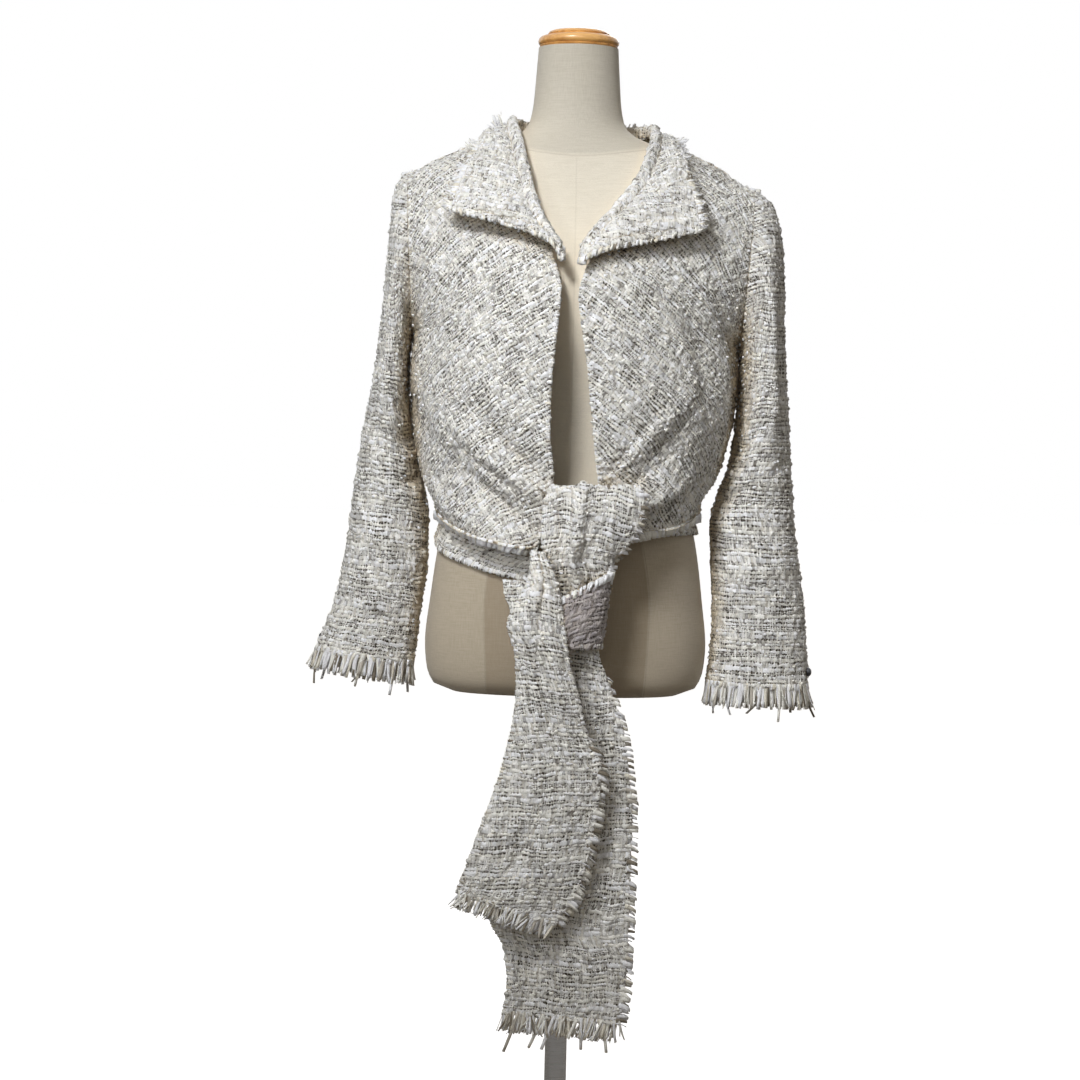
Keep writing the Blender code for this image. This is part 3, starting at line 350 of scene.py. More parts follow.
def torso(around=88, upward=88, cap_rows=3):
    """The cover's mesh with its seams drawn in, and on each vertex how far it is from each seam."""
    mesh, i, j = sheet_of("form_cover", around, upward + 2 * cap_rows)
    heights = np.linspace(FORM.rows[0, 0], NECK_TOP, upward + 1)
    height = heights[np.clip(j - cap_rows, 0, upward)]
    share = np.clip(np.minimum(j, upward + 2 * cap_rows - j) / cap_rows, 0, 1)
    points = form_ring(2 * np.pi * (i / around), height)
    points[:, :2] *= share[:, None]
    x, y, z = points.T
    half_turn = np.abs(np.arctan2(x, -y)) / np.pi
    neck = NECK_SEAM["front"] + (NECK_SEAM["back"] - NECK_SEAM["front"]) * (1 - np.cos(np.pi * half_turn)) / 2
    away = np.stack([x, np.abs(x) - BUST_SEAM.read("away", z), z - neck], -1)
    below_neck = ease((neck - z) / 0.004)
    dip = groove(away[:, 0], 0.0022) + groove(away[:, 1], 0.0022) * below_neck + groove(away[:, 2], 0.0020)
    points *= 1 - (share == 1.0)[:, None] * np.array([1, 1, 0]) * dip[:, None] * SEAM_DIP
    move_to(mesh, points)
    give(mesh, "seams", away)
    bm = bmesh.new()
    bm.from_mesh(mesh)
    bmesh.ops.remove_doubles(bm, verts=bm.verts, dist=WELD)
    bmesh.ops.recalc_face_normals(bm, faces=bm.faces)
    bm.to_mesh(mesh)
    bm.free()
    mesh.shade_smooth()
    mesh.set_sharp_from_angle(angle=math.radians(60))
    return mesh


def threads(tree, place, size):
    """One direction of a plain cloth's threads: thin rounded lines with uneven thickness."""
    put = node(tree, "Mapping", place, (0, 0, 0), (0, 0, 0), size)
    return node(tree, "TexNoise", put, None, 1.0, 3.0, 0.6)


def split(tree, vector):
    """The three numbers of a vector."""
    return node(tree, "SeparateXYZ", vector).node.outputs


def stored(tree, name):
    return node(tree, "Attribute", out=1, attribute_name=name)


def scaled(tree, colour, share):
    return node(tree, "VectorMath", colour, None, None, share, operation="SCALE")


def seen_light(tree, reach):
    """1 where a surface is open, and less where its surroundings shade it."""
    return node(tree, "AmbientOcclusion", None, reach, out=1, samples=4)


LINEN, tree, shader = finish("beige linen cover", 0.92, Sheen_Weight=0.22, Sheen_Roughness=0.55)
place = node(tree, "TexCoord", out=3)
upright = threads(tree, place, (1900, 1900, 60))
level = threads(tree, place, (60, 60, 2100))
slubs = threads(tree, place, (22, 22, 900))
cloudy = node(tree, "TexNoise", place, None, 9.0, 3.0, 0.5)
cloth_tone = plus(tree, times(tree, upright, 0.5), times(tree, level, 0.5))
light_threads = step_up(tree, cloth_tone, 0.36, 0.62)
# Painted shade: below about 0.9 m the cover is drawn more and more towards a darker, browner tone; higher up
# it keeps the paler one.
painted_shade_linen = blend(tree, light_threads, (0.392, 0.334, 0.250, 1), (0.488, 0.424, 0.332, 1))
paler = blend(tree, light_threads, (0.575, 0.530, 0.445, 1), (0.690, 0.645, 0.560, 1))
upper = step_up(tree, split(tree, place)[2], 0.74, 0.90)
colour = blend(tree, upper, painted_shade_linen, paler)
# Painted warm light: in the upper part, where its surroundings shade the cover, its colour is drawn towards a
# warm pale tone, for the light the jacket's cloth would bounce onto it.
painted_warm_light = less(tree, 1.0, step_up(tree, seen_light(tree, 0.09), 0.30, 0.92))
colour = blend(tree, times(tree, painted_warm_light, times(tree, upper, 0.8)), colour, (0.96, 0.85, 0.68, 1))
colour = blend(tree, times(tree, step_up(tree, slubs, 0.62, 0.74), 0.22), colour, (0.67, 0.61, 0.52, 1))
colour = blend(tree, times(tree, step_up(tree, cloudy, 0.35, 0.75), 0.15), colour, (0.49, 0.425, 0.33, 1))
away = split(tree, stored(tree, "seams"))
under_neck = step_up(tree, times(tree, away[2], -1.0), 0.0, 0.004)
seam_lines = []
for distance, shown in zip(away, (times(tree, under_neck, 0.45), under_neck, 1.0)):
    line = less(tree, 1.0, step_up(tree, calc(tree, "ABSOLUTE", distance), 0.0002, 0.0013))
    seam_lines.append(times(tree, line, shown))
seam = reduce(lambda first, second: calc(tree, "MAXIMUM", first, second), seam_lines)
colour = blend(tree, times(tree, seam, 0.24), colour, (0.26, 0.215, 0.155, 1))
# Painted shade: the neck above its seam is darkened by about a sixth.
painted_shade_neck = step_up(tree, away[2], 0.0, 0.004)
colour = scaled(tree, colour, less(tree, 1.0, times(tree, painted_shade_neck, 0.17)))
# Painted shade: lower down, the middle panels between the bust seams are drawn towards dark brown.
middle = times(tree, step_up(tree, times(tree, away[1], -1.0), 0.0, 0.002), less(tree, 1.0, upper))
colour = blend(tree, times(tree, middle, 0.46), colour, (0.235, 0.172, 0.105, 1))
tree.links.new(colour, shader.inputs["Base Color"])
raise_by(tree, shader, less(tree, cloth_tone, times(tree, seam, 0.6)), 0.35, 0.0006)

placed("form_cover", torso(), LINEN, "linen", "form_torso")

# ------------------------------------------------------------------ neck cap and its nut
# A turned cap in two tiers closes the neck. The upper tier carries a fine groove, the lower one is
# a full round, and a dark domed nut in the middle holds the cap down.

CAP = [(0, 1.3500), (.0300, 1.3497), (.0338, 1.3482), (.0350, 1.3462), (.0343, 1.3453), (.0352, 1.3444),
       (.0362, 1.3438), (.0395, 1.3434), (.0430, 1.3424), (.0452, 1.3402), (.0460, 1.3374), (.0456, 1.3350),
       (.0443, 1.3335), (.0436, 1.3330), (.0442, 1.3322), (.0438, 1.3308), (.0430, 1.3303), (0, 1.3303)]
NUT = [(0, 1.3540), (.0030, 1.3539), (.0055, 1.3534), (.0069, 1.3524), (.0072, 1.3514), (.0072, 1.3503),
       (0, 1.3503)]
turned("neck_cap_wood", CAP, HONEY, "wood", "neck_cap", 96)

DARK, tree, shader = finish("dark domed metal", 0.34, Metallic=1.0, Coat_Weight=0.3, Coat_Roughness=0.2)
worn = node(tree, "TexNoise", node(tree, "TexCoord", out=3), None, 420.0, 3.0, 0.6)
rubbed = blend(tree, step_up(tree, worn, 0.4, 0.75), (0.030, 0.030, 0.034, 1), (0.15, 0.15, 0.16, 1))
tree.links.new(rubbed, shader.inputs["Base Color"])
raise_by(tree, shader, worn, 0.12, 0.0003)
turned("neck_cap_nut", NUT, DARK, "dark_metal", "cap_nut", 32)

# ------------------------------------------------------------------ tweed for all cut pieces
# An open plain weave of mixed yarns: flat white ribbon, cream boucle, slubbed cream, fine white and
# grey thread. Each yarn lies in relief over and under the ones it crosses.

# Width of a yarn's place in mm, its crown in mm, how much of its place it fills, how many threads lie
# side by side in it, and its colour.
YARNS = {
    "fine": (2.8, 0.12, 0.54, 1, (0.92, 0.91, 0.875)),
    "grey": (2.5, 0.06, 0.52, 1, (0.70, 0.67, 0.61)),
    "slim": (3.0, 0.40, 0.74, 1, (0.94, 0.935, 0.92)),
    "pair": (3.4, 0.30, 0.72, 2, (0.94, 0.935, 0.93)),
    "white": (4.0, 0.70, 0.84, 1, (0.96, 0.965, 0.985)),
    "ribbon": (5.2, 0.56, 0.95, 1, (0.945, 0.955, 0.99)),
    "boucle": (4.6, 1.00, 0.90, 1, (0.96, 0.955, 0.92)),
    "slub": (4.0, 0.80, 0.82, 1, (0.93, 0.915, 0.87)),
}
# The order of sixteen yarns, and whether each is lifted one crossing out of step. The weft is thick
# and covers most of the warp.
WARP = "fine grey fine pair fine fine slim grey fine pair fine slim grey fine fine slim".split()
WEFT = "white slub white pair boucle white ribbon fine white slub boucle white pair white ribbon slub".split()
WARP_LIFT = (0, 0, 1, 1, 0, 0, 1, 0, 0, 0, 1, 0, 1, 0, 0, 1)
WEFT_LIFT = (0, 1, 1, 0, 0, 0, 0, 1, 1, 0, 0, 1, 0, 0, 1, 1)
REPEAT = len(WARP)
COUNT_FROM = 4096         # added to the yarns' numbers, so that none is below 0
SHIFT = 5                 # each repeat starts this many yarns later in the order
DEEPEST = -1.0            # height in mm of the open spots between the yarns
KNOPS = 0.022             # share of the grid's points that carry a knop, a knotted lump of boucle
KNOP_HEIGHT = (0.9, 2.7)
KNOP_WIDTH = 1.6
OPEN_SLOTS = 0.30         # share of the slots between two rows that are deep and dark
SLOT_DEPTH = (1.20, 0.42)  # in mm, of an open slot and of a closed one
SWELL = 0.60              # height in mm by which broader parts of the cloth rise and sink
UNEVEN = 0.00042          # how far a crossing strays from its place
ROUND_WEFT = (0, 0.29, 0.71)  # the grid's lines over a yarn, in shares of its place
PLAIN_WEFT = (0, 0.5)
YARN_STEP = 0.0024        # no yarn takes a narrower place than this
SPARE = 0.003             # how far the grid reaches past the pattern
CLOTH = 0.0024            # thickness of the tweed
RAW_EDGE, SEWN_EDGE = 0.0013, 0.0015     # how far the yarns stand out at the two kinds of edge
EDGE, UNDER_EDGE, TURNED_IN = 1, 2, 3    # the three rows of the rim

def in_order(number):
    """The place in the order of sixteen of a yarn, counted from anywhere."""
    return (number + SHIFT * (number // REPEAT)) % REPEAT


def yarn_lines(order, reach, lines):
    """Counts and places of the grid's lines over every yarn, as far as the reach to both sides."""
    most = int(reach / YARN_STEP)
    numbers = np.arange(-most, most)
    widths = np.array([YARNS[kind][0] for kind in order])[in_order(numbers)] / 1000
    edges = np.concatenate([[0], np.cumsum(widths)])
    edges -= edges[most]
    counts = np.add.outer(numbers, np.array(lines)).ravel()
    place = np.interp(counts, np.arange(-most, most + 1), edges)
    per = len(lines)
    first, last = np.searchsorted(place, (-reach - SPARE, reach + SPARE)) // per * per
    return counts[first:last + 1], place[first:last + 1]


def drawn_out(rows, count, step):
    """Rows of a coarse grid, read at a count of finer places."""
    return np.array([np.interp(np.arange(count) / step, np.arange(len(row)), row) for row in rows])


def knop_heights(shape, per, rng):
    """Round lumps of boucle, scattered over the grid."""
    knops = np.zeros(shape)
    across, along = (rng.integers(3, size - 4, int(knops.size * KNOPS)) for size in shape)
    tall = rng.uniform(*KNOP_HEIGHT, across.size)
    for di in range(-2, 3):
        for dj in range(-3, 4):
            away = math.hypot(di * 1.55, dj * 4.1 / per) / KNOP_WIDTH
            if away < 2.2:
                share = math.exp(-away * away / 2) * rng.uniform(0.85, 1.1, across.size)
                np.maximum.at(knops, (across + di, along + dj), tall * share)
    return knops


def weave_relief(warp, weft, per, rng):
    """Heights in mm at every crossing of lines: crowns on the yarns, slots and dips between them."""
    i = np.floor(warp[1::2]).astype(int)
    j = np.floor(weft[1::per]).astype(int)
    over = np.add.outer(i + np.array(WARP_LIFT)[in_order(i)], j + np.array(WEFT_LIFT)[in_order(j)]) % 2
    warp_crown = np.array([YARNS[kind][1] for kind in WARP])[in_order(i)][:, None]
    weft_crown = np.array([YARNS[kind][1] for kind in WEFT])[in_order(j)][None, :]
    crown = np.where(over == 1, warp_crown * rng.uniform(0.3, 1.5, over.shape),
                     weft_crown * rng.uniform(0.2, 1.55, over.shape))
    height = np.full((len(warp), len(weft)), DEEPEST)
    for top in range(1, per):
        height[1::2, top::per] = crown
        height[2:-1:2, top::per] = (crown[1:] + crown[:-1]) * 0.32 - 0.16
    open_slot = rng.random((len(i), len(j) - 1)) < OPEN_SLOTS
    height[1::2, per:-1:per] = (crown[:, 1:] + crown[:, :-1]) * 0.14 - np.where(open_slot, *SLOT_DEPTH)
    coarse = rng.normal(0, SWELL, (len(warp) // 4 + 2, len(weft) // 5 + 2))
    height += drawn_out(drawn_out(coarse, len(weft), 5).T, len(warp), 4).T
    knops = knop_heights(height.shape, per, rng)
    return np.maximum(height, knops * 1.25 - 0.45) + rng.uniform(-0.10, 0.10, height.shape)


class Cut:
    """The flat pattern of a piece: metres across and along the cloth from a start, to its shares."""

    def __init__(self, surface, first, second, start):
        self.u, self.v = np.linspace(*first, 61), np.linspace(*second, 61)
        points = surface(*np.meshgrid(self.u, self.v))
        self.across = self.runs(points, self.u, start[0])
        self.along = self.runs(points.transpose(1, 0, 2), self.v, start[1])

    @staticmethod
    def runs(points, shares, start):
        steps = np.linalg.norm(np.diff(points, axis=1), axis=-1)
        runs = np.concatenate([np.zeros((len(points), 1)), np.cumsum(steps, 1)], 1)
        return runs - np.array([np.interp(start, shares, row) for row in runs])[:, None]

    @staticmethod
    def reach(distance, at, runs, rows, shares):
        """The share where a run reaches a distance, between the measured rows on either side."""
        place = np.clip((at - rows[0]) / (rows[1] - rows[0]), 0, len(rows) - 1)
        low = np.minimum(place.astype(int), len(rows) - 2)
        found = np.empty_like(distance)
        for row in range(len(rows) - 1):
            here = low == row
            ends = []
            for run in (runs[row], runs[row + 1]):
                share = np.interp(distance[here], run, shares)
                slope = (shares[-1] - shares[0]) / (run[-1] - run[0])
                share += slope * np.minimum(distance[here] - run[0], 0)
                ends.append(share + slope * np.maximum(distance[here] - run[-1], 0))
            found[here] = ends[0] + (ends[1] - ends[0]) * (place[here] - row)
        return found

    def shares(self, x, y):
        u, v = np.full_like(x, self.u.mean()), np.full_like(x, self.v.mean())
        for _ in range(4):
            v = self.reach(y, u, self.along, self.u, self.v)
            u = self.reach(x, v, self.across, self.v, self.u)
        return u, v


def ripple(x, y, seed):
    """Slow uneven drift of the yarns, in metres."""
    rng = np.random.default_rng(seed)
    drift = np.zeros_like(x)
    for length, size in ((0.060, 0.0011), (0.031, 0.0006), (0.013, 0.0003)):
        a, b, c = rng.uniform(0, 2 * np.pi, 3)
        run = x * np.cos(a) + y * np.sin(a)
        drift += size * np.sin(2 * np.pi * run / length + b + np.sin(y / length + c))
    return drift


def laid(surface, u, v, core=(0, 0)):
    """Points of a surface, the ways across and along it, its outer normal, and -1 where that is turned."""
    step = 1e-3
    points = surface(u, v)
    across = unit(surface(u + step, v) - surface(u - step, v))
    along = unit(surface(u, v + step) - surface(u, v - step))
    normal = unit(np.cross(across, along))
    facing = np.sign(np.sum(normal * (points - (*core, 0)) * (1, 1, 0)))
    return points, across, along, normal * facing, facing


def yarn_grid(name, cut, bias, lines, size, seed):
    """A mesh along the yarns in shares of the piece, with each yarn's number and height stored on it."""
    rng = np.random.default_rng(seed)
    reach_x, reach_y = np.abs(cut.across).max(), np.abs(cut.along).max()
    cos, sin = math.cos(math.radians(bias)), math.sin(math.radians(bias))
    warp, warp_at = yarn_lines(WARP, (reach_x * abs(cos) + reach_y * abs(sin)) / size, PLAIN_WEFT)
    weft, weft_at = yarn_lines(WEFT, (reach_y * abs(cos) + reach_x * abs(sin)) / size, lines)
    mesh, i, j = sheet_of(name, len(warp) - 1, len(weft) - 1)
    x, y = warp_at[i] * size, weft_at[j] * size
    x, y = x + ripple(x, y, seed), y + ripple(x, y, seed + 1)
    x, y = x + rng.normal(0, UNEVEN, x.size), y + rng.normal(0, UNEVEN, y.size)
    u, v = cut.shares(x * cos - y * sin, x * sin + y * cos)
    move_to(mesh, np.stack([u, v, np.zeros_like(u)], -1))
    relief = weave_relief(warp, weft, len(lines), rng)[i, j]
    give(mesh, "yarn", np.stack([warp[i] + COUNT_FROM, weft[j] + COUNT_FROM, relief], -1))
    return mesh


def trim(mesh, first, second):
    """Cuts the grid to its pattern and draws a rim out of it: edge, turned under, and turned in."""
    bm = bmesh.new()
    bm.from_mesh(mesh)
    for axis, shares in ((Vector((1, 0, 0)), first), (Vector((0, 1, 0)), second)):
        for share, outward in zip(shares, (-1, 1)):
            bmesh.ops.bisect_plane(bm, geom=bm.verts[:] + bm.edges[:] + bm.faces[:], dist=1e-7,
                                   plane_co=axis * share, plane_no=axis * outward, clear_outer=True)
    rim = [edge for edge in bm.edges if edge.is_boundary]
    for stage in (EDGE, UNDER_EDGE, TURNED_IN):
        made = bmesh.ops.extrude_edge_only(bm, edges=rim)["geom"]
        for vert in made:
            if isinstance(vert, bmesh.types.BMVert):
                vert.co.z = stage
        rim = [edge for edge in made if isinstance(edge, bmesh.types.BMEdge) and edge.is_boundary]
    bm.normal_update()
    bm.to_mesh(mesh)
    bm.free()


def woven(name, node_name, surface, first=(0.0, 1.0), second=(0.0, 1.0), start=(0.5, 0.5), bias=0.0,
          core=(0, 0), seed=1, raw="", turn_in=0.007, lines=ROUND_WEFT, size=1.0, cloth=None):
    """One cut piece of tweed: a grid along its yarns, trimmed to the pattern and laid on its form.

    first and second are the ranges of its two shares, and start is where the yarns are counted from.
    The outer face looks away from the core. raw names the raw edges: l and r end the first share,
    b and t the second.
    """
    mesh = yarn_grid(name, Cut(surface, first, second, start), bias, lines, size, seed)
    trim(mesh, first, second)
    u, v, stage = vectors(mesh.vertices, "co").T
    relief = vectors(mesh.attributes["yarn"].data, "vector")[:, 2] / 1000
    points, across, along, normal, facing = laid(surface, u, v, core)
    ragged = RAW_EDGE * (1 + relief * 900)
    left, right, low, high = (ragged if edge in raw else SEWN_EDGE for edge in "lrbt")
    sideways = (u > first[1] - WELD) * right - (u < first[0] + WELD) * left
    upward = (v > second[1] - WELD) * high - (v < second[0] + WELD) * low
    outward = across * sideways[:, None] + along * upward[:, None]
    inward = across * np.sign(sideways)[:, None] + along * np.sign(upward)[:, None]
    stage = np.rint(stage).astype(int)
    lift = np.choose(stage, [CLOTH / 2 + relief, CLOTH * 0.35, -CLOTH / 2, -CLOTH / 2])
    points = points + normal * lift[:, None] + outward * (stage == EDGE)[:, None]
    move_to(mesh, points - inward * (np.where(stage == TURNED_IN, turn_in, 0))[:, None])
    if facing < 0:
        mesh.flip_normals()
    mesh.shade_smooth()
    return placed(name, mesh, cloth or TWEED, "tweed", node_name)


def ramp(tree, at, stops):
    """Steps of one colour each: every stop is a place and its colour and alpha."""
    made = node(tree, "ValToRGB", at).node
    made.color_ramp.interpolation = "CONSTANT"
    elements = made.color_ramp.elements
    for k, (place, colour) in enumerate(stops):
        stop = elements[k] if k < 2 else elements.new(place)
        stop.position = place
        stop.color = colour
    return made.outputs


def fibres(name="spun fibres"):
    """A group: fine hairs and lumps of spun yarn, as a brightness and a height."""
    group = bpy.data.node_groups.new(name, "ShaderNodeTree")
    for socket, way in (("Size", "INPUT"), ("Brightness", "OUTPUT"), ("Height", "OUTPUT")):
        group.interface.new_socket(socket, in_out=way, socket_type="NodeSocketFloat")
    size = group.nodes.new("NodeGroupInput").outputs[0]
    out = group.nodes.new("NodeGroupOutput")
    place = node(group, "TexCoord", out=3)
    hairs = node(group, "TexNoise", place, None, size, 3.0, 0.7)
    lumps = node(group, "TexNoise", place, None, times(group, size, 0.4), 2.0, 0.5)
    group.links.new(ranged(group, lumps, 0.3, 0.7, 0.84, 1.08), out.inputs[0])
    group.links.new(plus(group, hairs, lumps), out.inputs[1])
    return group


FIBRES = fibres()


def spun(tree, size):
    made = tree.nodes.new("ShaderNodeGroup")
    made.node_tree = FIBRES
    made.inputs[0].default_value = size
    return made.outputs


def pick(tree, share, first, second):
    """The second number where the share is 1, and the first where it is 0."""
    return plus(tree, times(tree, share, second), times(tree, less(tree, 1.0, share), first))


def tinted(tree, colour, tint):
    return node(tree, "VectorMath", colour, tint, operation="MULTIPLY")


def noise_2d(tree, place, scale, detail, rough):
    return node(tree, "TexNoise", place, None, scale, detail, rough, noise_dimensions="2D")


# Painted shade: the first colour fills the open spots between the yarns, and the yarns that pass under are
# drawn a third of the way towards the second.
GAP_SHADE = (0.034, 0.026, 0.017, 1)
UNDER_SHADE = (0.44, 0.395, 0.325, 1)
HOLLOW_SHADE = (0.72, 0.60, 0.42)             # painted shade: the colour is multiplied by this warm tone in folds and hollows, where the surroundings shade the cloth
DEEP_TONE_AND_SHADE = (0.066, 0.054, 0.040, 1)         # what the cloth darkens towards: tone that varies at random, and painted shade in its low spots
KNOP_WHITE = (0.97, 0.965, 0.94, 1)


def yarn_side(tree, order, lifts, count, uneven, closer):
    """What one set of yarns shows at each point: its colour, where it covers, and how it varies."""
    number = calc(tree, "FLOOR", count)
    turns = calc(tree, "FLOOR", calc(tree, "DIVIDE", number, float(REPEAT)))
    place = calc(tree, "FLOORED_MODULO", plus(tree, number, times(tree, turns, float(SHIFT))), float(REPEAT))
    at = calc(tree, "DIVIDE", plus(tree, place, 0.5), float(REPEAT))
    kinds = [YARNS[kind] for kind in order]
    colours = ramp(tree, at, [(k / REPEAT, (*kind[4], lifts[k])) for k, kind in enumerate(kinds)])
    fills = ramp(tree, at, [(k / REPEAT, (kind[2],) * 3 + (kind[3] / 2,)) for k, kind in enumerate(kinds)])
    threads = times(tree, fills[1], 2.0)
    inside = times(tree, calc(tree, "FRACT", count), threads)
    off_middle = calc(tree, "ABSOLUTE", less(tree, times(tree, calc(tree, "FRACT", inside), 2.0), 1.0))
    fill = plus(tree, fills[0], ranged(tree, uneven, 0.2, 0.8, -0.46 + closer, 0.34 + closer))
    past = less(tree, off_middle, fill)
    single = plus(tree, number, times(tree, calc(tree, "FLOOR", inside), 0.37))
    return {
        "number": number, "single": single, "colour": colours[0], "lift": colours[1],
        "off_middle": off_middle,
        "covers": less(tree, 1.0, step_up(tree, past, -0.16, 0.12)),
        "vary": node(tree, "TexWhiteNoise", None, single, noise_dimensions="1D"),
    }


def tweed(name, closer, tint=(1, 1, 1)):
    """The woven finish. Its colours, gaps and shades follow each yarn, counted by the attribute "yarn".

    closer is how much more the yarns fill their places than in the plain cloth; it also leaves less painted
    shade in the gaps and low spots, and lightens the random darker patches. tint scales the whole colour of a
    copy: below 1 it is painted shade.
    """
    made, tree, shader = finish(name, 0.85, Sheen_Weight=0.2, Sheen_Roughness=0.45)
    warp_count, weft_count, relief = split(tree, stored(tree, "yarn"))
    counted = node(tree, "CombineXYZ", warp_count, weft_count)
    patches = noise_2d(tree, counted, 0.11, 2.0, 0.5)
    uneven = plus(tree, noise_2d(tree, counted, 0.85, 2.0, 0.6), ranged(tree, patches, 0.3, 0.7, -0.16, 0.16))
    warp = yarn_side(tree, WARP, WARP_LIFT, warp_count, uneven, closer)
    weft = yarn_side(tree, WEFT, WEFT_LIFT, weft_count, uneven, closer)
    crossing = plus(tree, plus(tree, warp["number"], weft["number"]), plus(tree, warp["lift"], weft["lift"]))
    over = calc(tree, "GREATER_THAN", calc(tree, "FLOORED_MODULO", crossing, 2.0), 0.5)
    low_cover = pick(tree, over, warp["covers"], weft["covers"])
    top_cover = pick(tree, over, weft["covers"], warp["covers"])
    top_edge = pick(tree, over, weft["off_middle"], warp["off_middle"])
    low_colour = blend(tree, over, warp["colour"], weft["colour"])
    # Painted shade: near black in the open spots, and a darker tan over the yarns that pass under.
    colour = blend(tree, low_cover, GAP_SHADE, blend(tree, 0.32, low_colour, UNDER_SHADE))
    colour = blend(tree, top_cover, colour, blend(tree, over, weft["colour"], warp["colour"]))
    knop = step_up(tree, relief, 0.9, 1.5)
    colour = blend(tree, times(tree, knop, 0.85), colour, KNOP_WHITE)
    crossed = node(tree, "CombineXYZ", warp["single"], weft["single"])
    vary_spot = node(tree, "TexWhiteNoise", crossed, noise_dimensions="2D")
    blotches = noise_2d(tree, counted, 0.33, 2.0, 0.6)
    brightness, height = spun(tree, 1500.0)
    shade = times(
        tree,
        ranged(tree, vary_spot, 0.0, 0.18, 0.38, 1.04),
        brightness,
        ranged(tree, warp["vary"], 0.0, 1.0, 0.94, 1.04),
        ranged(tree, weft["vary"], 0.0, 1.0, 0.94, 1.04),
        # painted shade: the low spots of the relief are darkened
        ranged(tree, relief, -1.2, -0.35, 0.05 + closer, 1.0),
        ranged(tree, blotches, 0.35, 0.60, 0.74 + closer / 2, 1.04),
    )
    # This darkening is partly tone that varies at random and partly painted shade in the low spots.
    colour = blend(tree, shade, DEEP_TONE_AND_SHADE, colour)
    # Painted shade: in folds and hollows, where the surroundings shade it, the cloth is darkened and warmed.
    lit = step_up(tree, seen_light(tree, 0.045), 0.12, 0.84)
    colour = blend(tree, lit, tinted(tree, colour, HOLLOW_SHADE), colour)
    tree.links.new(tinted(tree, colour, tint), shader.inputs["Base Color"])
    bulge = less(tree, 1.0, times(tree, top_edge, top_edge))
    round_top = calc(tree, "SQRT", calc(tree, "MAXIMUM", bulge, 0.0))
    rough_height = plus(tree, times(tree, round_top, top_cover), times(tree, height, 0.5))
    raise_by(tree, shader, rough_height, 0.8, 0.0009)
    return made


TWEED = tweed("white mixed tweed", 0.0)
# The ties' copy fills its places a little more, and so has a little less painted shade in its gaps and low
# spots: it stands lighter.
TIE_TWEED = tweed("white mixed tweed, closer, less painted shade", 0.03)
# The collar's copy is fuller, with less painted shade in its gaps and low spots, and its whole colour is
# darkened a little: painted shade.
COLLAR_TWEED = tweed("white mixed tweed, fulled, painted shade", 0.15, (0.93, 0.93, 0.935))
# The wrap's copy is darkened to a dull mauve all over: painted shade.
WRAP_TWEED = tweed("white mixed tweed, drawn tight, painted shade", 0.05, (0.51, 0.47, 0.48))

# ------------------------------------------------------------------ fronts
# Two fronts cut on the bias, with a raw edge that rolls back into the lapel above the break. They
# join the back at the shoulder and side, and draw down in folds to the knot.

RIGHT, LEFT = -1, 1
SIDES = ((RIGHT, "right"), (LEFT, "left"))
SEAM_GAP = 0.0007         # clearance between two sewn pieces
BREAK = 0.66              # share of the front's length where the lapel starts to roll
ARMPIT = 0.56             # share of the front's length at the bottom of the armhole
SHOULDER_OPEN = 0.0006    # extra clearance where the two panels meet at a ridge
FRONT_EDGE = {
    RIGHT: Sections("share x y z", [
        (0.00, 0.036, -0.127, 0.766),
        (0.07, 0.025, -0.134, 0.800),
        (0.15, 0.018, -0.139, 0.838),
        (0.25, 0.024, -0.146, 0.882),
        (0.36, 0.025, -0.150, 0.930),
        (0.48, 0.021, -0.150, 0.988),
        (0.58, 0.016, -0.147, 1.043),
        (0.66, 0.0130, -0.141, 1.083),
        (0.74, 0.034, -0.124, 1.112),
        (0.82, 0.050, -0.102, 1.146),
        (0.90, 0.0595, -0.077, 1.182),
        (0.96, 0.0655, -0.043, 1.217),
        (1.00, 0.068, -0.00095, 1.2375),
    ]),
    LEFT: Sections("share x y z", [
        (0.00, 0.040, -0.124, 0.780),
        (0.07, 0.036, -0.131, 0.808),
        (0.15, 0.033, -0.138, 0.840),
        (0.25, 0.027, -0.145, 0.882),
        (0.36, 0.022, -0.150, 0.930),
        (0.48, 0.015, -0.150, 0.986),
        (0.58, 0.006, -0.147, 1.040),
        (0.66, 0.0065, -0.141, 1.080),
        (0.74, 0.0215, -0.124, 1.106),
        (0.82, 0.049, -0.102, 1.140),
        (0.90, 0.073, -0.075, 1.176),
        (0.96, 0.0825, -0.042, 1.210),
        (1.00, 0.083, -0.00095, 1.2312),
    ]),
}

SIDE_SEAM = {
    RIGHT: Sections("share x z", [
        (0.00, 0.1490, 0.800),
        (0.10, 0.1530, 0.822),
        (0.20, 0.1640, 0.848),
        (0.32, 0.1740, 0.880),
        (0.50, 0.1795, 0.920),
        (0.75, 0.1810, 0.962),
        (1.00, 0.1790, 1.003),
    ]),
    LEFT: Sections("share x z", [
        (0.00, 0.1480, 0.803),
        (0.10, 0.1500, 0.824),
        (0.20, 0.1610, 0.846),
        (0.32, 0.1750, 0.876),
        (0.50, 0.1850, 0.916),
        (0.75, 0.1885, 0.958),
        (1.00, 0.1865, 0.998),
    ]),
}

FRONT_TURN = Sections(
    "share turn",
    [(0.0, 84), (0.30, 86), (0.56, 86), (0.66, 72), (0.76, 52), (0.86, 34), (0.94, 16), (1.0, 6)],
)

ARMHOLE = {
    RIGHT: {"tip": (0.1880, 1.1845), "front": 0.060, "back": 0.064},
    LEFT: {"tip": (0.2010, 1.1735), "front": 0.060, "back": 0.064},
}


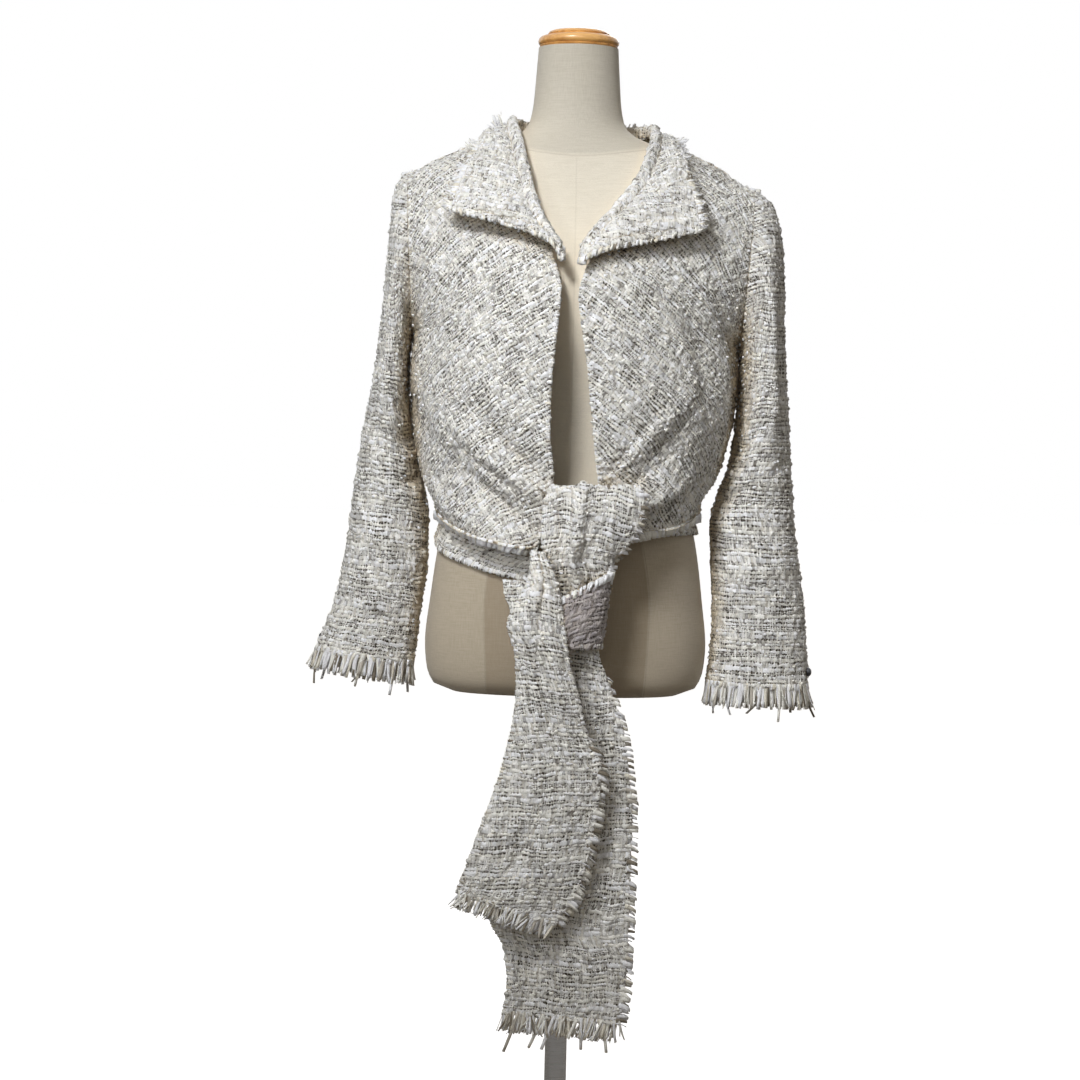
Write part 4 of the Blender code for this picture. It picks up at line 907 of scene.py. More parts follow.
def armhole(side, angle):
    """A point of the armhole: angle 0 at the shoulder tip, pi at the armpit, front half negative."""
    tip_x, tip_z = ARMHOLE[side]["tip"]
    pit_x, pit_z = SIDE_SEAM[side].rows[-1, 1:]
    down = (1 - np.cos(angle)) / 2
    deep = np.where(np.sin(angle) < 0, ARMHOLE[side]["front"], ARMHOLE[side]["back"])
    x = tip_x + (pit_x - tip_x) * down
    return np.stack([x, deep * np.sin(angle), tip_z + (pit_z - tip_z) * down], -1)


def outer_edge(side, share, face):
    """Side seam and then armhole, from hem to shoulder tip; face is -1 in front and 1 behind."""
    low = np.clip(share / ARMPIT, 0, 1)
    seam = np.stack(
        [
            SIDE_SEAM[side].read("x", low),
            np.full_like(low, face * SEAM_GAP / 2),
            SIDE_SEAM[side].read("z", low),
        ],
        -1,
    )
    up = np.clip((share - ARMPIT) / (1 - ARMPIT), 0, 1)
    hole = armhole(side, face * np.pi * (1 - up))
    hole[..., 1] += face * (SEAM_GAP / 2 + SHOULDER_OPEN * ease((up - 0.85) / 0.15))
    return np.where((share <= ARMPIT)[..., None], seam, hole)


def row_arc(start, end, across, turn, share):
    """A row that leaves its start facing forward and has turned by an angle at its end."""
    angle = np.radians(turn)
    x_share = np.sin(angle * across) / np.sin(angle)
    y_share = (1 - np.cos(angle * across)) / (1 - np.cos(angle))
    level = ease((share - 0.72) / 0.28)
    z_share = ease(across) * (1 - level) + across * level
    shares = np.stack([x_share, y_share, z_share], -1)
    return start + (end - start) * shares


def creased(base, across, share, creases, flip=1.0):
    """A surface's points, moved along its normal by soft creases drawn on it in shares of its sides."""
    points = base(across, share)
    step = 1e-3
    along = base(across + step, share) - base(across - step, share)
    upward = base(across, share + step) - base(across, share - step)
    normal = unit(np.cross(along, upward)) * flip
    lift = np.zeros(points.shape[:-1])
    for from_u, from_v, to_u, to_v, width, depth in creases:
        run = np.array([to_u - from_u, to_v - from_v])
        t = ((across - from_u) * run[0] + (share - from_v) * run[1]) / (run @ run)
        near = np.clip(t, 0, 1)
        away = np.hypot(across - from_u - near * run[0], share - from_v - near * run[1])
        fade = 0.25 + 0.75 * np.sin(np.pi * near) ** 0.7
        lift += depth * np.exp(-((away / width) ** 2)) * fade
    return points + normal * lift[..., None]


# Creases: from and to in shares of the panel (across, up), width as a share, depth in metres.
FRONT_CREASES = {
    RIGHT: [
        (0.00, 0.05, 0.55, 0.16, 0.040, -0.007),
        (0.00, 0.10, 0.50, 0.26, 0.040, 0.008),
        (0.00, 0.13, 0.40, 0.34, 0.040, -0.006),
        (0.02, 0.00, 0.85, 0.06, 0.045, 0.006),
        (0.35, 0.02, 1.00, 0.12, 0.050, 0.006),
        (0.55, 0.14, 0.95, 0.30, 0.060, -0.005),
        (0.75, 0.62, 0.92, 0.30, 0.060, 0.004),
    ],
    LEFT: [
        (0.00, 0.05, 0.60, 0.15, 0.045, 0.007),
        (0.00, 0.12, 0.45, 0.28, 0.040, -0.006),
        (0.10, 0.16, 0.50, 0.40, 0.045, 0.005),
        (0.40, 0.02, 1.00, 0.13, 0.050, 0.007),
        (0.62, 0.74, 0.80, 0.25, 0.070, 0.005),
        (0.74, 0.66, 0.90, 0.20, 0.060, -0.003),
        (0.50, 0.60, 0.60, 0.30, 0.050, -0.004),
    ],
}

# Narrow folds that run out from the knot, over the broad ones.
KNOT_FOLDS = {
    RIGHT: [
        (0.00, 0.075, 0.46, 0.215, 0.016, -0.0048),
        (0.02, 0.040, 0.38, 0.120, 0.013, -0.0036),
        (0.03, 0.150, 0.30, 0.290, 0.015, -0.0032),
        (0.10, 0.105, 0.50, 0.175, 0.016, 0.0030),
        (0.48, 0.060, 0.86, 0.130, 0.018, -0.0030),
    ],
    LEFT: [
        (0.00, 0.085, 0.40, 0.210, 0.016, -0.0045),
        (0.03, 0.030, 0.46, 0.085, 0.014, -0.0034),
        (0.04, 0.170, 0.28, 0.320, 0.015, -0.0030),
        (0.12, 0.060, 0.55, 0.130, 0.018, 0.0030),
        (0.52, 0.070, 0.88, 0.150, 0.018, -0.0030),
    ],
}


def apart(points, side, shift=0.0075, reach=0.020):
    """Draws the cloth round the break away from the middle line."""
    tip = FRONT_EDGE[side].point(np.array([BREAK]), "x", "y", "z")[0] * (side, 1, 1)
    near = np.exp(-np.sum((points - tip) ** 2, -1) / reach ** 2)
    return points + near[..., None] * np.array([side * shift, 0, 0])


def front_panel(side):
    """The front, with the corner of the armhole eased out over the cloth around it."""
    def base(across, share):
        reach = 0.055 * (1 - np.clip(across, 0, 1) ** 5) * np.clip(np.minimum(share, 1 - share) / 0.1, 0, 1)
        points = 0
        for shift, weight in ((-1, 0.15), (-0.5, 0.22), (0, 0.26), (0.5, 0.22), (1, 0.15)):
            at = share + shift * reach
            start = FRONT_EDGE[side].point(at, "x", "y", "z")
            end, turn = outer_edge(side, at, -1), FRONT_TURN.read("turn", at)
            points = points + weight * row_arc(start, end, across, turn, at)
        return points

    def surface(across, share):
        points = over_form(creased(base, across, share, FRONT_CREASES[side] + KNOT_FOLDS[side]))
        return apart(points * (side, 1, 1), side)

    return surface


for side, name, bias, flat, area in (
    (RIGHT, "front_right", -32.0, (0.245, 0.551), 0.094),
    (LEFT, "front_left", -38.0, (0.260, 0.538), 0.093),
):
    piece = woven(name + "_tweed", name, front_panel(side), bias=bias, seed=20 + side, raw="lb")

# ------------------------------------------------------------------ back
# One piece from side seam to side seam, eased over the shoulders, with soft folds above the waist.

NECK_SHARE = 0.36         # share of the back's half width that lies under the neck
BACK_LINE = Sections("share y z", [
    (0.00, 0.112, 0.800),
    (0.08, 0.118, 0.828),
    (0.18, 0.126, 0.868),
    (0.34, 0.124, 0.940),
    (0.52, 0.118, 1.020),
    (0.70, 0.112, 1.105),
    (0.84, 0.100, 1.165),
    (0.93, 0.082, 1.205),
    (1.00, 0.0625, 1.2300),
])

BACK_TURN = Sections("share turn", [(0.0, 86), (0.56, 86), (0.66, 72), (0.78, 50), (0.90, 26), (1.0, 10)])


BACK_CREASES = [
    (-0.72, 0.02, -0.60, 0.26, 0.050, 0.006),
    (-0.42, 0.00, -0.36, 0.22, 0.045, -0.005),
    (-0.15, 0.00, -0.12, 0.30, 0.050, 0.006),
    (0.12, 0.00, 0.16, 0.20, 0.045, -0.005),
    (0.38, 0.00, 0.34, 0.28, 0.050, 0.006),
    (0.66, 0.02, 0.60, 0.24, 0.050, -0.005),
    (-0.85, 0.58, -0.45, 0.40, 0.060, 0.005),
    (0.85, 0.58, 0.50, 0.38, 0.060, 0.005),
]


def back_top(side, across):
    """The back's upper edge: shoulder seam from the tip to the neck point, then round the neck."""
    tip = outer_edge(side, np.ones_like(across), 1)
    neck_point = FRONT_EDGE[side].point(np.ones_like(across), "x", "y", "z")
    neck_point[..., 1] = SEAM_GAP / 2 + SHOULDER_OPEN
    up_seam = np.clip((across - NECK_SHARE) / (1 - NECK_SHARE), 0, 1)
    seam = neck_point + (tip - neck_point) * up_seam[..., None]
    nape_y, nape_z = BACK_LINE.rows[-1, 1:]
    neck_x, neck_y, neck_z = np.moveaxis(neck_point, -1, 0)
    turn = np.clip(across / NECK_SHARE, 0, 1) * np.pi / 2
    round_neck = np.stack([neck_x * np.sin(turn), neck_y + (nape_y - neck_y) * np.cos(turn),
                           neck_z + (nape_z - neck_z) * np.cos(turn)], -1)
    return np.where((across < NECK_SHARE)[..., None], round_neck, seam)


def back_half(side, across, share):
    start = np.stack([0 * share, BACK_LINE.read("y", share), BACK_LINE.read("z", share)], -1)
    end = outer_edge(side, share, 1)
    rows = row_arc(start, end, across, BACK_TURN.read("turn", share), share)
    to_top = ease((share - 0.80) / 0.20)[..., None]
    points = rows + (back_top(side, across) - rows) * to_top
    points[..., 0] *= side
    return points


def back_panel(across, share):
    def base(across, share):
        left = back_half(LEFT, np.abs(across), share)
        right = back_half(RIGHT, np.abs(across), share)
        return np.where((across > 0)[..., None], left, right)

    return over_form(creased(base, across, share, BACK_CREASES, flip=-1.0))


piece = woven("back_tweed", "back", back_panel, first=(-1.0, 1.0), start=(0.0, 0.5), seed=31, raw="b",
              lines=PLAIN_WEFT, size=1.22)

# ------------------------------------------------------------------ sleeves
# Two one-piece sleeves set into the armholes, cut straight: the weft runs round the arm. The seam
# lies on the inner side.

SLEEVE = {
    RIGHT: Sections("share outer_x outer_z inner_x inner_z half_depth mid_y", [
        (0.00, 0.1900, 1.1850, 0.1822, 1.0010, 0.0622, 0.002),
        (0.04, 0.2010, 1.1720, 0.1845, 0.9930, 0.0650, 0.002),
        (0.09, 0.2060, 1.1420, 0.1855, 0.9820, 0.0660, 0.003),
        (0.16, 0.2095, 1.0900, 0.1865, 0.9640, 0.0660, 0.004),
        (0.25, 0.2150, 1.0250, 0.1870, 0.9380, 0.0650, 0.006),
        (0.36, 0.2230, 0.9580, 0.1865, 0.9050, 0.0620, 0.009),
        (0.46, 0.2330, 0.9000, 0.1800, 0.8650, 0.0570, 0.011),
        (0.55, 0.2405, 0.8500, 0.1680, 0.8280, 0.0520, 0.011),
        (0.62, 0.2455, 0.8080, 0.1610, 0.7980, 0.0490, 0.009),
        (0.72, 0.2525, 0.7500, 0.1605, 0.7470, 0.0440, 0.003),
        (0.83, 0.2620, 0.7000, 0.1660, 0.6960, 0.0390, -0.004),
        (0.93, 0.2750, 0.6640, 0.1705, 0.6540, 0.0350, -0.009),
        (1.00, 0.2820, 0.6450, 0.1730, 0.6300, 0.0330, -0.011),
    ]),
    LEFT: Sections("share outer_x outer_z inner_x inner_z half_depth mid_y", [
        (0.00, 0.2030, 1.1740, 0.1896, 0.9960, 0.0622, 0.002),
        (0.04, 0.2190, 1.1620, 0.1915, 0.9880, 0.0645, 0.002),
        (0.09, 0.2310, 1.1340, 0.1925, 0.9770, 0.0665, 0.003),
        (0.16, 0.2370, 1.0850, 0.1930, 0.9590, 0.0665, 0.004),
        (0.25, 0.2395, 1.0200, 0.1930, 0.9330, 0.0650, 0.006),
        (0.36, 0.2440, 0.9550, 0.1920, 0.9000, 0.0620, 0.008),
        (0.46, 0.2490, 0.8980, 0.1850, 0.8620, 0.0570, 0.009),
        (0.55, 0.2530, 0.8450, 0.1720, 0.8280, 0.0520, 0.008),
        (0.62, 0.2560, 0.8020, 0.1640, 0.7960, 0.0490, 0.006),
        (0.72, 0.2640, 0.7450, 0.1660, 0.7430, 0.0440, 0.001),
        (0.83, 0.2710, 0.6860, 0.1680, 0.6860, 0.0390, -0.005),
        (0.93, 0.2745, 0.6400, 0.1650, 0.6420, 0.0350, -0.009),
        (1.00, 0.2760, 0.6130, 0.1620, 0.6150, 0.0330, -0.011),
    ]),
}

SLEEVE_CREASES = {
    RIGHT: [
        (-0.34, 0.50, -0.10, 0.44, 0.030, -0.0050),
        (-0.40, 0.60, -0.14, 0.64, 0.030, -0.0045),
        (-0.30, 0.70, -0.06, 0.60, 0.028, 0.0040),
        (-0.24, 0.20, -0.20, 0.40, 0.035, 0.0050),
        (0.10, 0.50, 0.36, 0.56, 0.035, -0.0050),
        (0.12, 0.70, 0.36, 0.64, 0.035, -0.0040),
        (-0.18, 0.86, -0.05, 0.80, 0.028, -0.0035),
    ],
    LEFT: [
        (-0.22, 0.10, -0.20, 0.42, 0.030, 0.0070),
        (-0.12, 0.14, -0.12, 0.44, 0.026, -0.0060),
        (-0.38, 0.56, -0.12, 0.60, 0.032, -0.0040),
        (-0.36, 0.74, -0.10, 0.70, 0.030, 0.0035),
        (0.10, 0.52, 0.36, 0.58, 0.035, -0.0050),
        (0.12, 0.72, 0.36, 0.66, 0.035, -0.0040),
    ],
}

# Small wrinkles, most of them at the inner side of the elbow, and the fullness under the arm.
SLEEVE_WRINKLES = {
    RIGHT: [
        (-0.47, 0.400, -0.30, 0.435, 0.017, -0.0036), (-0.47, 0.455, -0.26, 0.500, 0.018, 0.0030),
        (-0.46, 0.520, -0.31, 0.545, 0.015, -0.0038), (-0.44, 0.570, -0.24, 0.610, 0.018, 0.0030),
        (-0.46, 0.635, -0.30, 0.660, 0.016, -0.0030), (-0.40, 0.330, -0.30, 0.360, 0.015, -0.0025),
        (-0.24, 0.770, -0.05, 0.800, 0.018, 0.0026), (-0.36, 0.860, -0.15, 0.885, 0.017, -0.0026),
        (-0.48, 0.700, -0.33, 0.730, 0.016, 0.0026), (-0.16, 0.300, -0.04, 0.340, 0.018, -0.0024),
        (0.28, 0.420, 0.45, 0.460, 0.018, -0.0035), (0.25, 0.550, 0.44, 0.520, 0.018, 0.0030),
        (0.30, 0.630, 0.46, 0.660, 0.016, -0.0030), (0.10, 0.800, 0.28, 0.780, 0.018, 0.0026),
        (0.50, 0.270, 0.50, 0.570, 0.090, 0.0046), (-0.50, 0.270, -0.50, 0.570, 0.090, 0.0046),
    ],
    LEFT: [
        (-0.46, 0.430, -0.28, 0.405, 0.017, -0.0034), (-0.47, 0.480, -0.30, 0.510, 0.017, 0.0030),
        (-0.45, 0.560, -0.27, 0.540, 0.016, -0.0036), (-0.46, 0.600, -0.33, 0.640, 0.017, 0.0028),
        (-0.43, 0.680, -0.26, 0.665, 0.016, -0.0030), (-0.20, 0.520, -0.05, 0.500, 0.018, -0.0026),
        (-0.30, 0.800, -0.12, 0.830, 0.018, -0.0026), (-0.42, 0.760, -0.30, 0.790, 0.016, 0.0026),
        (0.27, 0.400, 0.45, 0.440, 0.018, -0.0033), (0.26, 0.520, 0.44, 0.500, 0.018, 0.0030),
        (0.30, 0.610, 0.46, 0.640, 0.016, -0.0030), (0.08, 0.760, 0.26, 0.740, 0.018, 0.0026),
        (0.50, 0.270, 0.50, 0.470, 0.090, 0.0030), (-0.50, 0.270, -0.50, 0.470, 0.090, 0.0030),
    ],
}


def sleeve(side):
    table, creases = SLEEVE[side], SLEEVE_CREASES[side] + SLEEVE_WRINKLES[side]

    def base(turns, share):
        angle = 2 * np.pi * turns
        outer = table.point(share, "outer_x", "mid_y", "outer_z")
        inner = table.point(share, "inner_x", "mid_y", "inner_z")
        points = (outer + inner) / 2 + (outer - inner) / 2 * np.cos(angle)[..., None]
        points[..., 1] += table.read("half_depth", share) * np.sin(angle)
        return points

    def surface(turns, share):
        wrapped = (turns + 0.5) % 1.0 - 0.5
        return creased(base, wrapped, share, creases, flip=-1.0) * (side, 1, 1)

    return surface


SLEEVE_CORE = 0.205       # how far out the middle of a sleeve lies
for side, name, flat, area in (
    (RIGHT, "sleeve_right", (0.491, 0.554), 0.1304),
    (LEFT, "sleeve_left", (0.482, 0.575), 0.1433),
):
    piece = woven(name + "_tweed", name, sleeve(side), first=(-0.5, 0.5), start=(0.0, 1.0),
                  core=(side * SLEEVE_CORE, 0), seed=40 + side, raw="t", size=1.12)

# ------------------------------------------------------------------ collar and lapels
# One strip sewn round the neck from break to break. It stands up a little, rolls over and falls to
# a raw outer edge. Both ends are the lapels.

SHOULDER_TURN = 0.68      # share of the half collar that lies before the shoulder seam
COLLAR = {
    RIGHT: Sections("share rise roll outer_x outer_y outer_z bulge out_near up_near up_half", [
        (0.00, 0.005, 0.0070, 0.139, -0.117, 1.136, 0.008, 0.008, 0.027, 0.010),
        (0.10, 0.007, 0.0072, 0.139, -0.115, 1.142, 0.008, 0.009, 0.020, 0.008),
        (0.20, 0.008, 0.0072, 0.137, -0.110, 1.149, 0.009, 0.010, 0.014, 0.006),
        (0.40, 0.009, 0.0065, 0.128, -0.091, 1.175, 0.009, 0.010, 0.006, 0.004),
        (0.55, 0.011, 0.0055, 0.116, -0.059, 1.205, 0.008, 0.009, 0.003, 0.004),
        (0.68, 0.012, 0.0045, 0.100, -0.004, 1.2310, 0.006, 0.006, 0.002, 0.003),
        (0.80, 0.014, 0.0042, 0.079, 0.048, 1.2430, 0.003, 0.003, 0.001, 0.002),
        (0.90, 0.015, 0.0042, 0.046, 0.076, 1.2430, 0.002, 0.002, 0.001, 0.002),
        (1.00, 0.015, 0.0042, 0.000, 0.086, 1.2410, 0.002, 0.002, 0.001, 0.002),
    ]),
    LEFT: Sections("share rise roll outer_x outer_y outer_z bulge out_near up_near up_half", [
        (0.00, 0.005, 0.0070, 0.137, -0.117, 1.120, 0.008, 0.007, 0.014, 0.000),
        (0.10, 0.007, 0.0072, 0.138, -0.115, 1.129, 0.008, 0.008, 0.011, 0.001),
        (0.20, 0.008, 0.0072, 0.137, -0.109, 1.142, 0.009, 0.009, 0.009, 0.002),
        (0.40, 0.009, 0.0065, 0.129, -0.090, 1.168, 0.009, 0.010, 0.005, 0.003),
        (0.55, 0.010, 0.0055, 0.121, -0.060, 1.199, 0.008, 0.009, 0.003, 0.004),
        (0.68, 0.010, 0.0045, 0.112, -0.004, 1.2275, 0.006, 0.006, 0.002, 0.003),
        (0.80, 0.013, 0.0042, 0.088, 0.046, 1.2370, 0.003, 0.003, 0.001, 0.002),
        (0.90, 0.015, 0.0042, 0.048, 0.076, 1.2420, 0.002, 0.002, 0.001, 0.002),
        (1.00, 0.015, 0.0042, 0.000, 0.086, 1.2410, 0.002, 0.002, 0.001, 0.002),
    ]),
}


def neckline(side, share):
    """The sewn edge of a collar half: up the roll line, then round the back neck."""
    up_front = BREAK + (1 - BREAK) * np.clip(share / SHOULDER_TURN, 0, 1)
    front = FRONT_EDGE[side].point(up_front, "x", "y", "z")
    round_back = np.clip((share - SHOULDER_TURN) / (1 - SHOULDER_TURN), 0, 1)
    back = back_top(side, NECK_SHARE * (1 - round_back))
    return np.where((share <= SHOULDER_TURN)[..., None], front, back)


def bezier(a, b, c, d, t):
    t = t[..., None]
    return a * (1 - t) ** 3 + 3 * b * t * (1 - t) ** 2 + 3 * c * t * t * (1 - t) + d * t**3


def collar_half(side, share, over):
    """share runs along the neckline; over runs 0 at the seam, 0.4 past the roll, 1 at the edge."""
    table = COLLAR[side]
    step = 0.02
    seam = over_form(neckline(side, share))
    tangent = unit(neckline(side, np.minimum(share + step, 1)) - neckline(side, np.maximum(share - step, 0)))
    at_middle = ease((share - 0.9) / 0.1)[..., None]
    tangent = unit(tangent * (1 - at_middle) + np.array([-1.0, 0, 0]) * at_middle)
    away = unit(seam * (1, 1, 0))
    upward = np.cross(away, tangent)
    upward = unit(np.where(upward[..., 2:] < 0, -upward, upward))
    rise = upward * table.read("rise", share)[..., None]
    start = seam + upward * CLOTH
    past = start + away * 2 * table.read("roll", share)[..., None]
    roll = bezier(start, start + rise * 1.33, past + rise * 1.33, past, np.clip(over / 0.4, 0, 1))
    outer = table.point(share, "outer_x", "outer_y", "outer_z")
    run = outer - past
    belly = away * table.read("bulge", share)[..., None]
    near = unit(run * (1, 1, 0)) * table.read("out_near", share)[..., None]
    near[..., 2] += table.read("up_near", share)
    half = run * 0.5
    half[..., 2] += table.read("up_half", share)
    fall = bezier(past, past + near + belly * 0.4, past + half + belly, outer,
                  np.clip((over - 0.4) / 0.6, 0, 1))
    points = over_form(np.where((over < 0.4)[..., None], roll, fall), 0.0030)
    return points * (side, 1, 1)


def collar(along, over):
    """along runs -1 at the right lapel's end, 0 at the middle of the back, 1 at the left's."""
    left = collar_half(LEFT, 1 - np.abs(along), over)
    right = collar_half(RIGHT, 1 - np.abs(along), over)
    return np.where((along > 0)[..., None], left, right)


# Ridges beside the lapels' lower edges, and the waves of the outer edge: along and over, width, depth.
LAPEL_FOLDS = [
    (-0.960, 0.50, -0.965, 0.98, 0.013, 0.0024), (-0.905, 0.45, -0.915, 0.94, 0.016, -0.0018),
    (-0.865, 0.55, -0.870, 0.99, 0.014, 0.0026), (-0.800, 0.45, -0.820, 0.90, 0.016, -0.0016),
    (-0.755, 0.60, -0.750, 1.00, 0.016, 0.0024), (-0.660, 0.76, -0.650, 1.00, 0.018, 0.0030),
    (-0.600, 0.80, -0.595, 1.00, 0.017, -0.0030), (-0.530, 0.78, -0.520, 1.00, 0.018, 0.0034),
    (-0.450, 0.82, -0.440, 1.00, 0.018, -0.0026), (-0.360, 0.72, -0.355, 1.00, 0.020, 0.0036),
    (-0.240, 0.80, -0.230, 1.00, 0.020, -0.0026), (-0.120, 0.74, -0.130, 1.00, 0.022, 0.0032),
    (-1.000, 0.60, -0.940, 0.64, 0.035, 0.0036), (-1.000, 0.77, -0.945, 0.79, 0.030, -0.0030),
    (0.965, 0.48, 0.955, 0.97, 0.014, 0.0024), (0.915, 0.50, 0.925, 0.95, 0.015, -0.0020),
    (0.880, 0.45, 0.870, 0.96, 0.015, 0.0024), (0.820, 0.55, 0.830, 0.99, 0.016, -0.0016),
    (0.770, 0.62, 0.765, 1.00, 0.016, 0.0026), (0.700, 0.78, 0.695, 1.00, 0.017, -0.0028),
    (0.630, 0.74, 0.640, 1.00, 0.018, 0.0032), (0.540, 0.80, 0.545, 1.00, 0.018, -0.0028),
    (0.460, 0.76, 0.465, 1.00, 0.019, 0.0034), (0.340, 0.80, 0.345, 1.00, 0.020, -0.0026),
    (0.220, 0.72, 0.215, 1.00, 0.021, 0.0034), (0.070, 0.80, 0.075, 1.00, 0.022, -0.0024),
    (1.000, 0.68, 0.945, 0.70, 0.032, 0.0034), (1.000, 0.85, 0.950, 0.86, 0.028, -0.0028),
]


def lapels(along, over):
    """The collar with its ridges and waves, and with its two tips drawn apart at the break."""
    points = creased(collar, along, over, LAPEL_FOLDS)
    return np.where((along > 0)[..., None], apart(points, LEFT), apart(points, RIGHT))


piece = woven("collar_tweed", "collar", lapels, first=(-1.0, 1.0), start=(0.0, 1.0), bias=90.0, seed=51,
              turn_in=0.0018, raw="lrt", size=1.10, cloth=COLLAR_TWEED)

# ------------------------------------------------------------------ waist band and ties
# The band lies on the form and goes on into the two ties, which cross in front. The right tie
# turns once round the left one and hangs in front of it.

BAND = Sections("turns low high margin", [
    (-0.700, 0.7300, 0.7720, 0.0060),
    (-0.640, 0.7380, 0.7820, 0.0044),
    (-0.560, 0.7560, 0.8020, 0.0031),
    (-0.480, 0.7760, 0.8220, 0.0029),
    (-0.250, 0.7860, 0.8300, 0.0031),
    (0.000, 0.7850, 0.8300, 0.0031),
    (0.060, 0.7850, 0.8280, 0.0033),
    (0.140, 0.7820, 0.8240, 0.0050),
])

BAND_TURNS = (-0.70, 0.14)


def waist_band(turns, share):
    """turns count from the left side: 0 there, -0.25 at the middle of the back, -0.5 at the right."""
    low, high = BAND.read("low", turns), BAND.read("high", turns)
    z = low + (high - low) * share
    margin = BAND.read("margin", turns) + 0.001 * (1 - share) ** 2
    return form_ring(-2 * np.pi * turns, z, margin)


TIE_LEFT = Sections("share first_x first_z second_x second_z first_y middle_y second_y", [
    (0.000, -0.0150, 0.8140, 0.0640, 0.8140, -0.1430, -0.1460, -0.1420),
    (0.022, -0.0180, 0.8320, 0.0700, 0.8340, -0.1465, -0.1500, -0.1455),
    (0.034, -0.0190, 0.8370, 0.0740, 0.8390, -0.1520, -0.1560, -0.1500),
    (0.047, -0.0210, 0.8340, 0.0775, 0.8350, -0.1570, -0.1620, -0.1530),
    (0.075, -0.0265, 0.8160, 0.0805, 0.8160, -0.1590, -0.1680, -0.1530),
    (0.110, -0.0280, 0.7900, 0.0730, 0.7900, -0.1585, -0.1700, -0.1520),
    (0.128, -0.0280, 0.7770, 0.0660, 0.7770, -0.1575, -0.1700, -0.1510),
    (0.155, -0.0225, 0.7570, 0.0500, 0.7570, -0.1560, -0.1680, -0.1500),
    (0.176, -0.0130, 0.7420, 0.0445, 0.7420, -0.1540, -0.1640, -0.1495),
    (0.206, -0.0090, 0.7200, 0.0400, 0.7190, -0.1500, -0.1580, -0.1480),
    (0.240, -0.0160, 0.7000, 0.0340, 0.6990, -0.1460, -0.1520, -0.1455),
    (0.290, -0.0200, 0.6700, 0.0325, 0.6660, -0.1420, -0.1490, -0.1430),
    (0.350, -0.0280, 0.6350, 0.0440, 0.6280, -0.1380, -0.1460, -0.1400),
    (0.430, -0.0420, 0.5700, 0.0640, 0.5660, -0.1360, -0.1440, -0.1360),
    (0.560, -0.0500, 0.4700, 0.0755, 0.4700, -0.1300, -0.1380, -0.1300),
    (0.700, -0.0640, 0.3950, 0.0750, 0.3800, -0.1250, -0.1340, -0.1260),
    (0.760, -0.0760, 0.3600, 0.0745, 0.3450, -0.1230, -0.1330, -0.1240),
    (0.820, -0.0590, 0.3250, 0.0740, 0.3150, -0.1280, -0.1320, -0.1240),
    (0.900, -0.0550, 0.2880, 0.0720, 0.2800, -0.1320, -0.1300, -0.1230),
    (1.000, -0.0600, 0.2550, 0.0680, 0.2450, -0.1300, -0.1290, -0.1230),
])

TIE_RIGHT = Sections("share first_x first_z second_x second_z first_y middle_y second_y", [
    (0.000, -0.0395, 0.7660, -0.0270, 0.7640, -0.1590, -0.1630, -0.1610),
    (0.040, -0.0400, 0.7520, -0.0200, 0.7500, -0.1660, -0.1730, -0.1700),
    (0.090, -0.0430, 0.7330, -0.0120, 0.7300, -0.1740, -0.1840, -0.1765),
    (0.140, -0.0560, 0.7080, -0.0070, 0.7060, -0.1795, -0.1885, -0.1785),
    (0.190, -0.0630, 0.6870, -0.0030, 0.6820, -0.1785, -0.1890, -0.1788),
    (0.250, -0.0540, 0.6540, 0.0020, 0.6500, -0.1760, -0.1880, -0.1790),
    (0.330, -0.0520, 0.6120, 0.0140, 0.6080, -0.1740, -0.1850, -0.1760),
    (0.400, -0.0560, 0.5760, 0.0240, 0.5700, -0.1700, -0.1800, -0.1720),
    (0.480, -0.0640, 0.5400, 0.0400, 0.5320, -0.1660, -0.1760, -0.1660),
    (0.560, -0.0710, 0.5120, 0.0380, 0.4980, -0.1620, -0.1740, -0.1620),
    (0.700, -0.0880, 0.4640, 0.0300, 0.4460, -0.1600, -0.1700, -0.1600),
    (0.850, -0.1020, 0.4220, 0.0160, 0.3960, -0.1580, -0.1670, -0.1580),
    (1.000, -0.1130, 0.3920, -0.0060, 0.3590, -0.1560, -0.1640, -0.1560),
])

TIE_TUCK = Sections("share first_x first_z second_x second_z first_y middle_y second_y", [
    (0.00, -0.0700, 0.7310, -0.0320, 0.7290, -0.0995, -0.1030, -0.1040),
    (0.40, -0.0690, 0.7190, -0.0310, 0.7180, -0.1060, -0.1090, -0.1100),
    (0.75, -0.0640, 0.7060, -0.0320, 0.7040, -0.1120, -0.1140, -0.1160),
    (1.00, -0.0580, 0.6960, -0.0340, 0.6920, -0.1150, -0.1170, -0.1190),
])

TIE_LEFT_CREASES = [
    (0.34, 0.02, 0.42, 0.23, 0.055, -0.0095),
    (0.17, 0.05, 0.20, 0.20, 0.080, 0.0045),
    (0.62, 0.04, 0.60, 0.22, 0.100, 0.0030),
    (0.35, 0.30, 0.50, 0.62, 0.090, 0.0035),
    (0.12, 0.74, 0.22, 1.00, 0.080, 0.0060),
]

TIE_RIGHT_CREASES = [
    (0.50, 0.02, 0.62, 0.26, 0.080, 0.0050),
    (0.30, 0.12, 0.35, 0.40, 0.070, -0.0040),
    (0.55, 0.45, 0.30, 0.95, 0.090, 0.0035),
]


def strip(table, creases=()):
    """A flat strip of cloth, laid from rung to rung of its table."""

    def base(across, share):
        first = table.point(share, "first_x", "first_y", "first_z")
        second = table.point(share, "second_x", "second_y", "second_z")
        points = first + (second - first) * across[..., None]
        chord = (first[..., 1] + second[..., 1]) / 2
        points[..., 1] += (table.read("middle_y", share) - chord) * 4 * across * (1 - across)
        return points

    return lambda across, share: creased(base, across, share, creases)


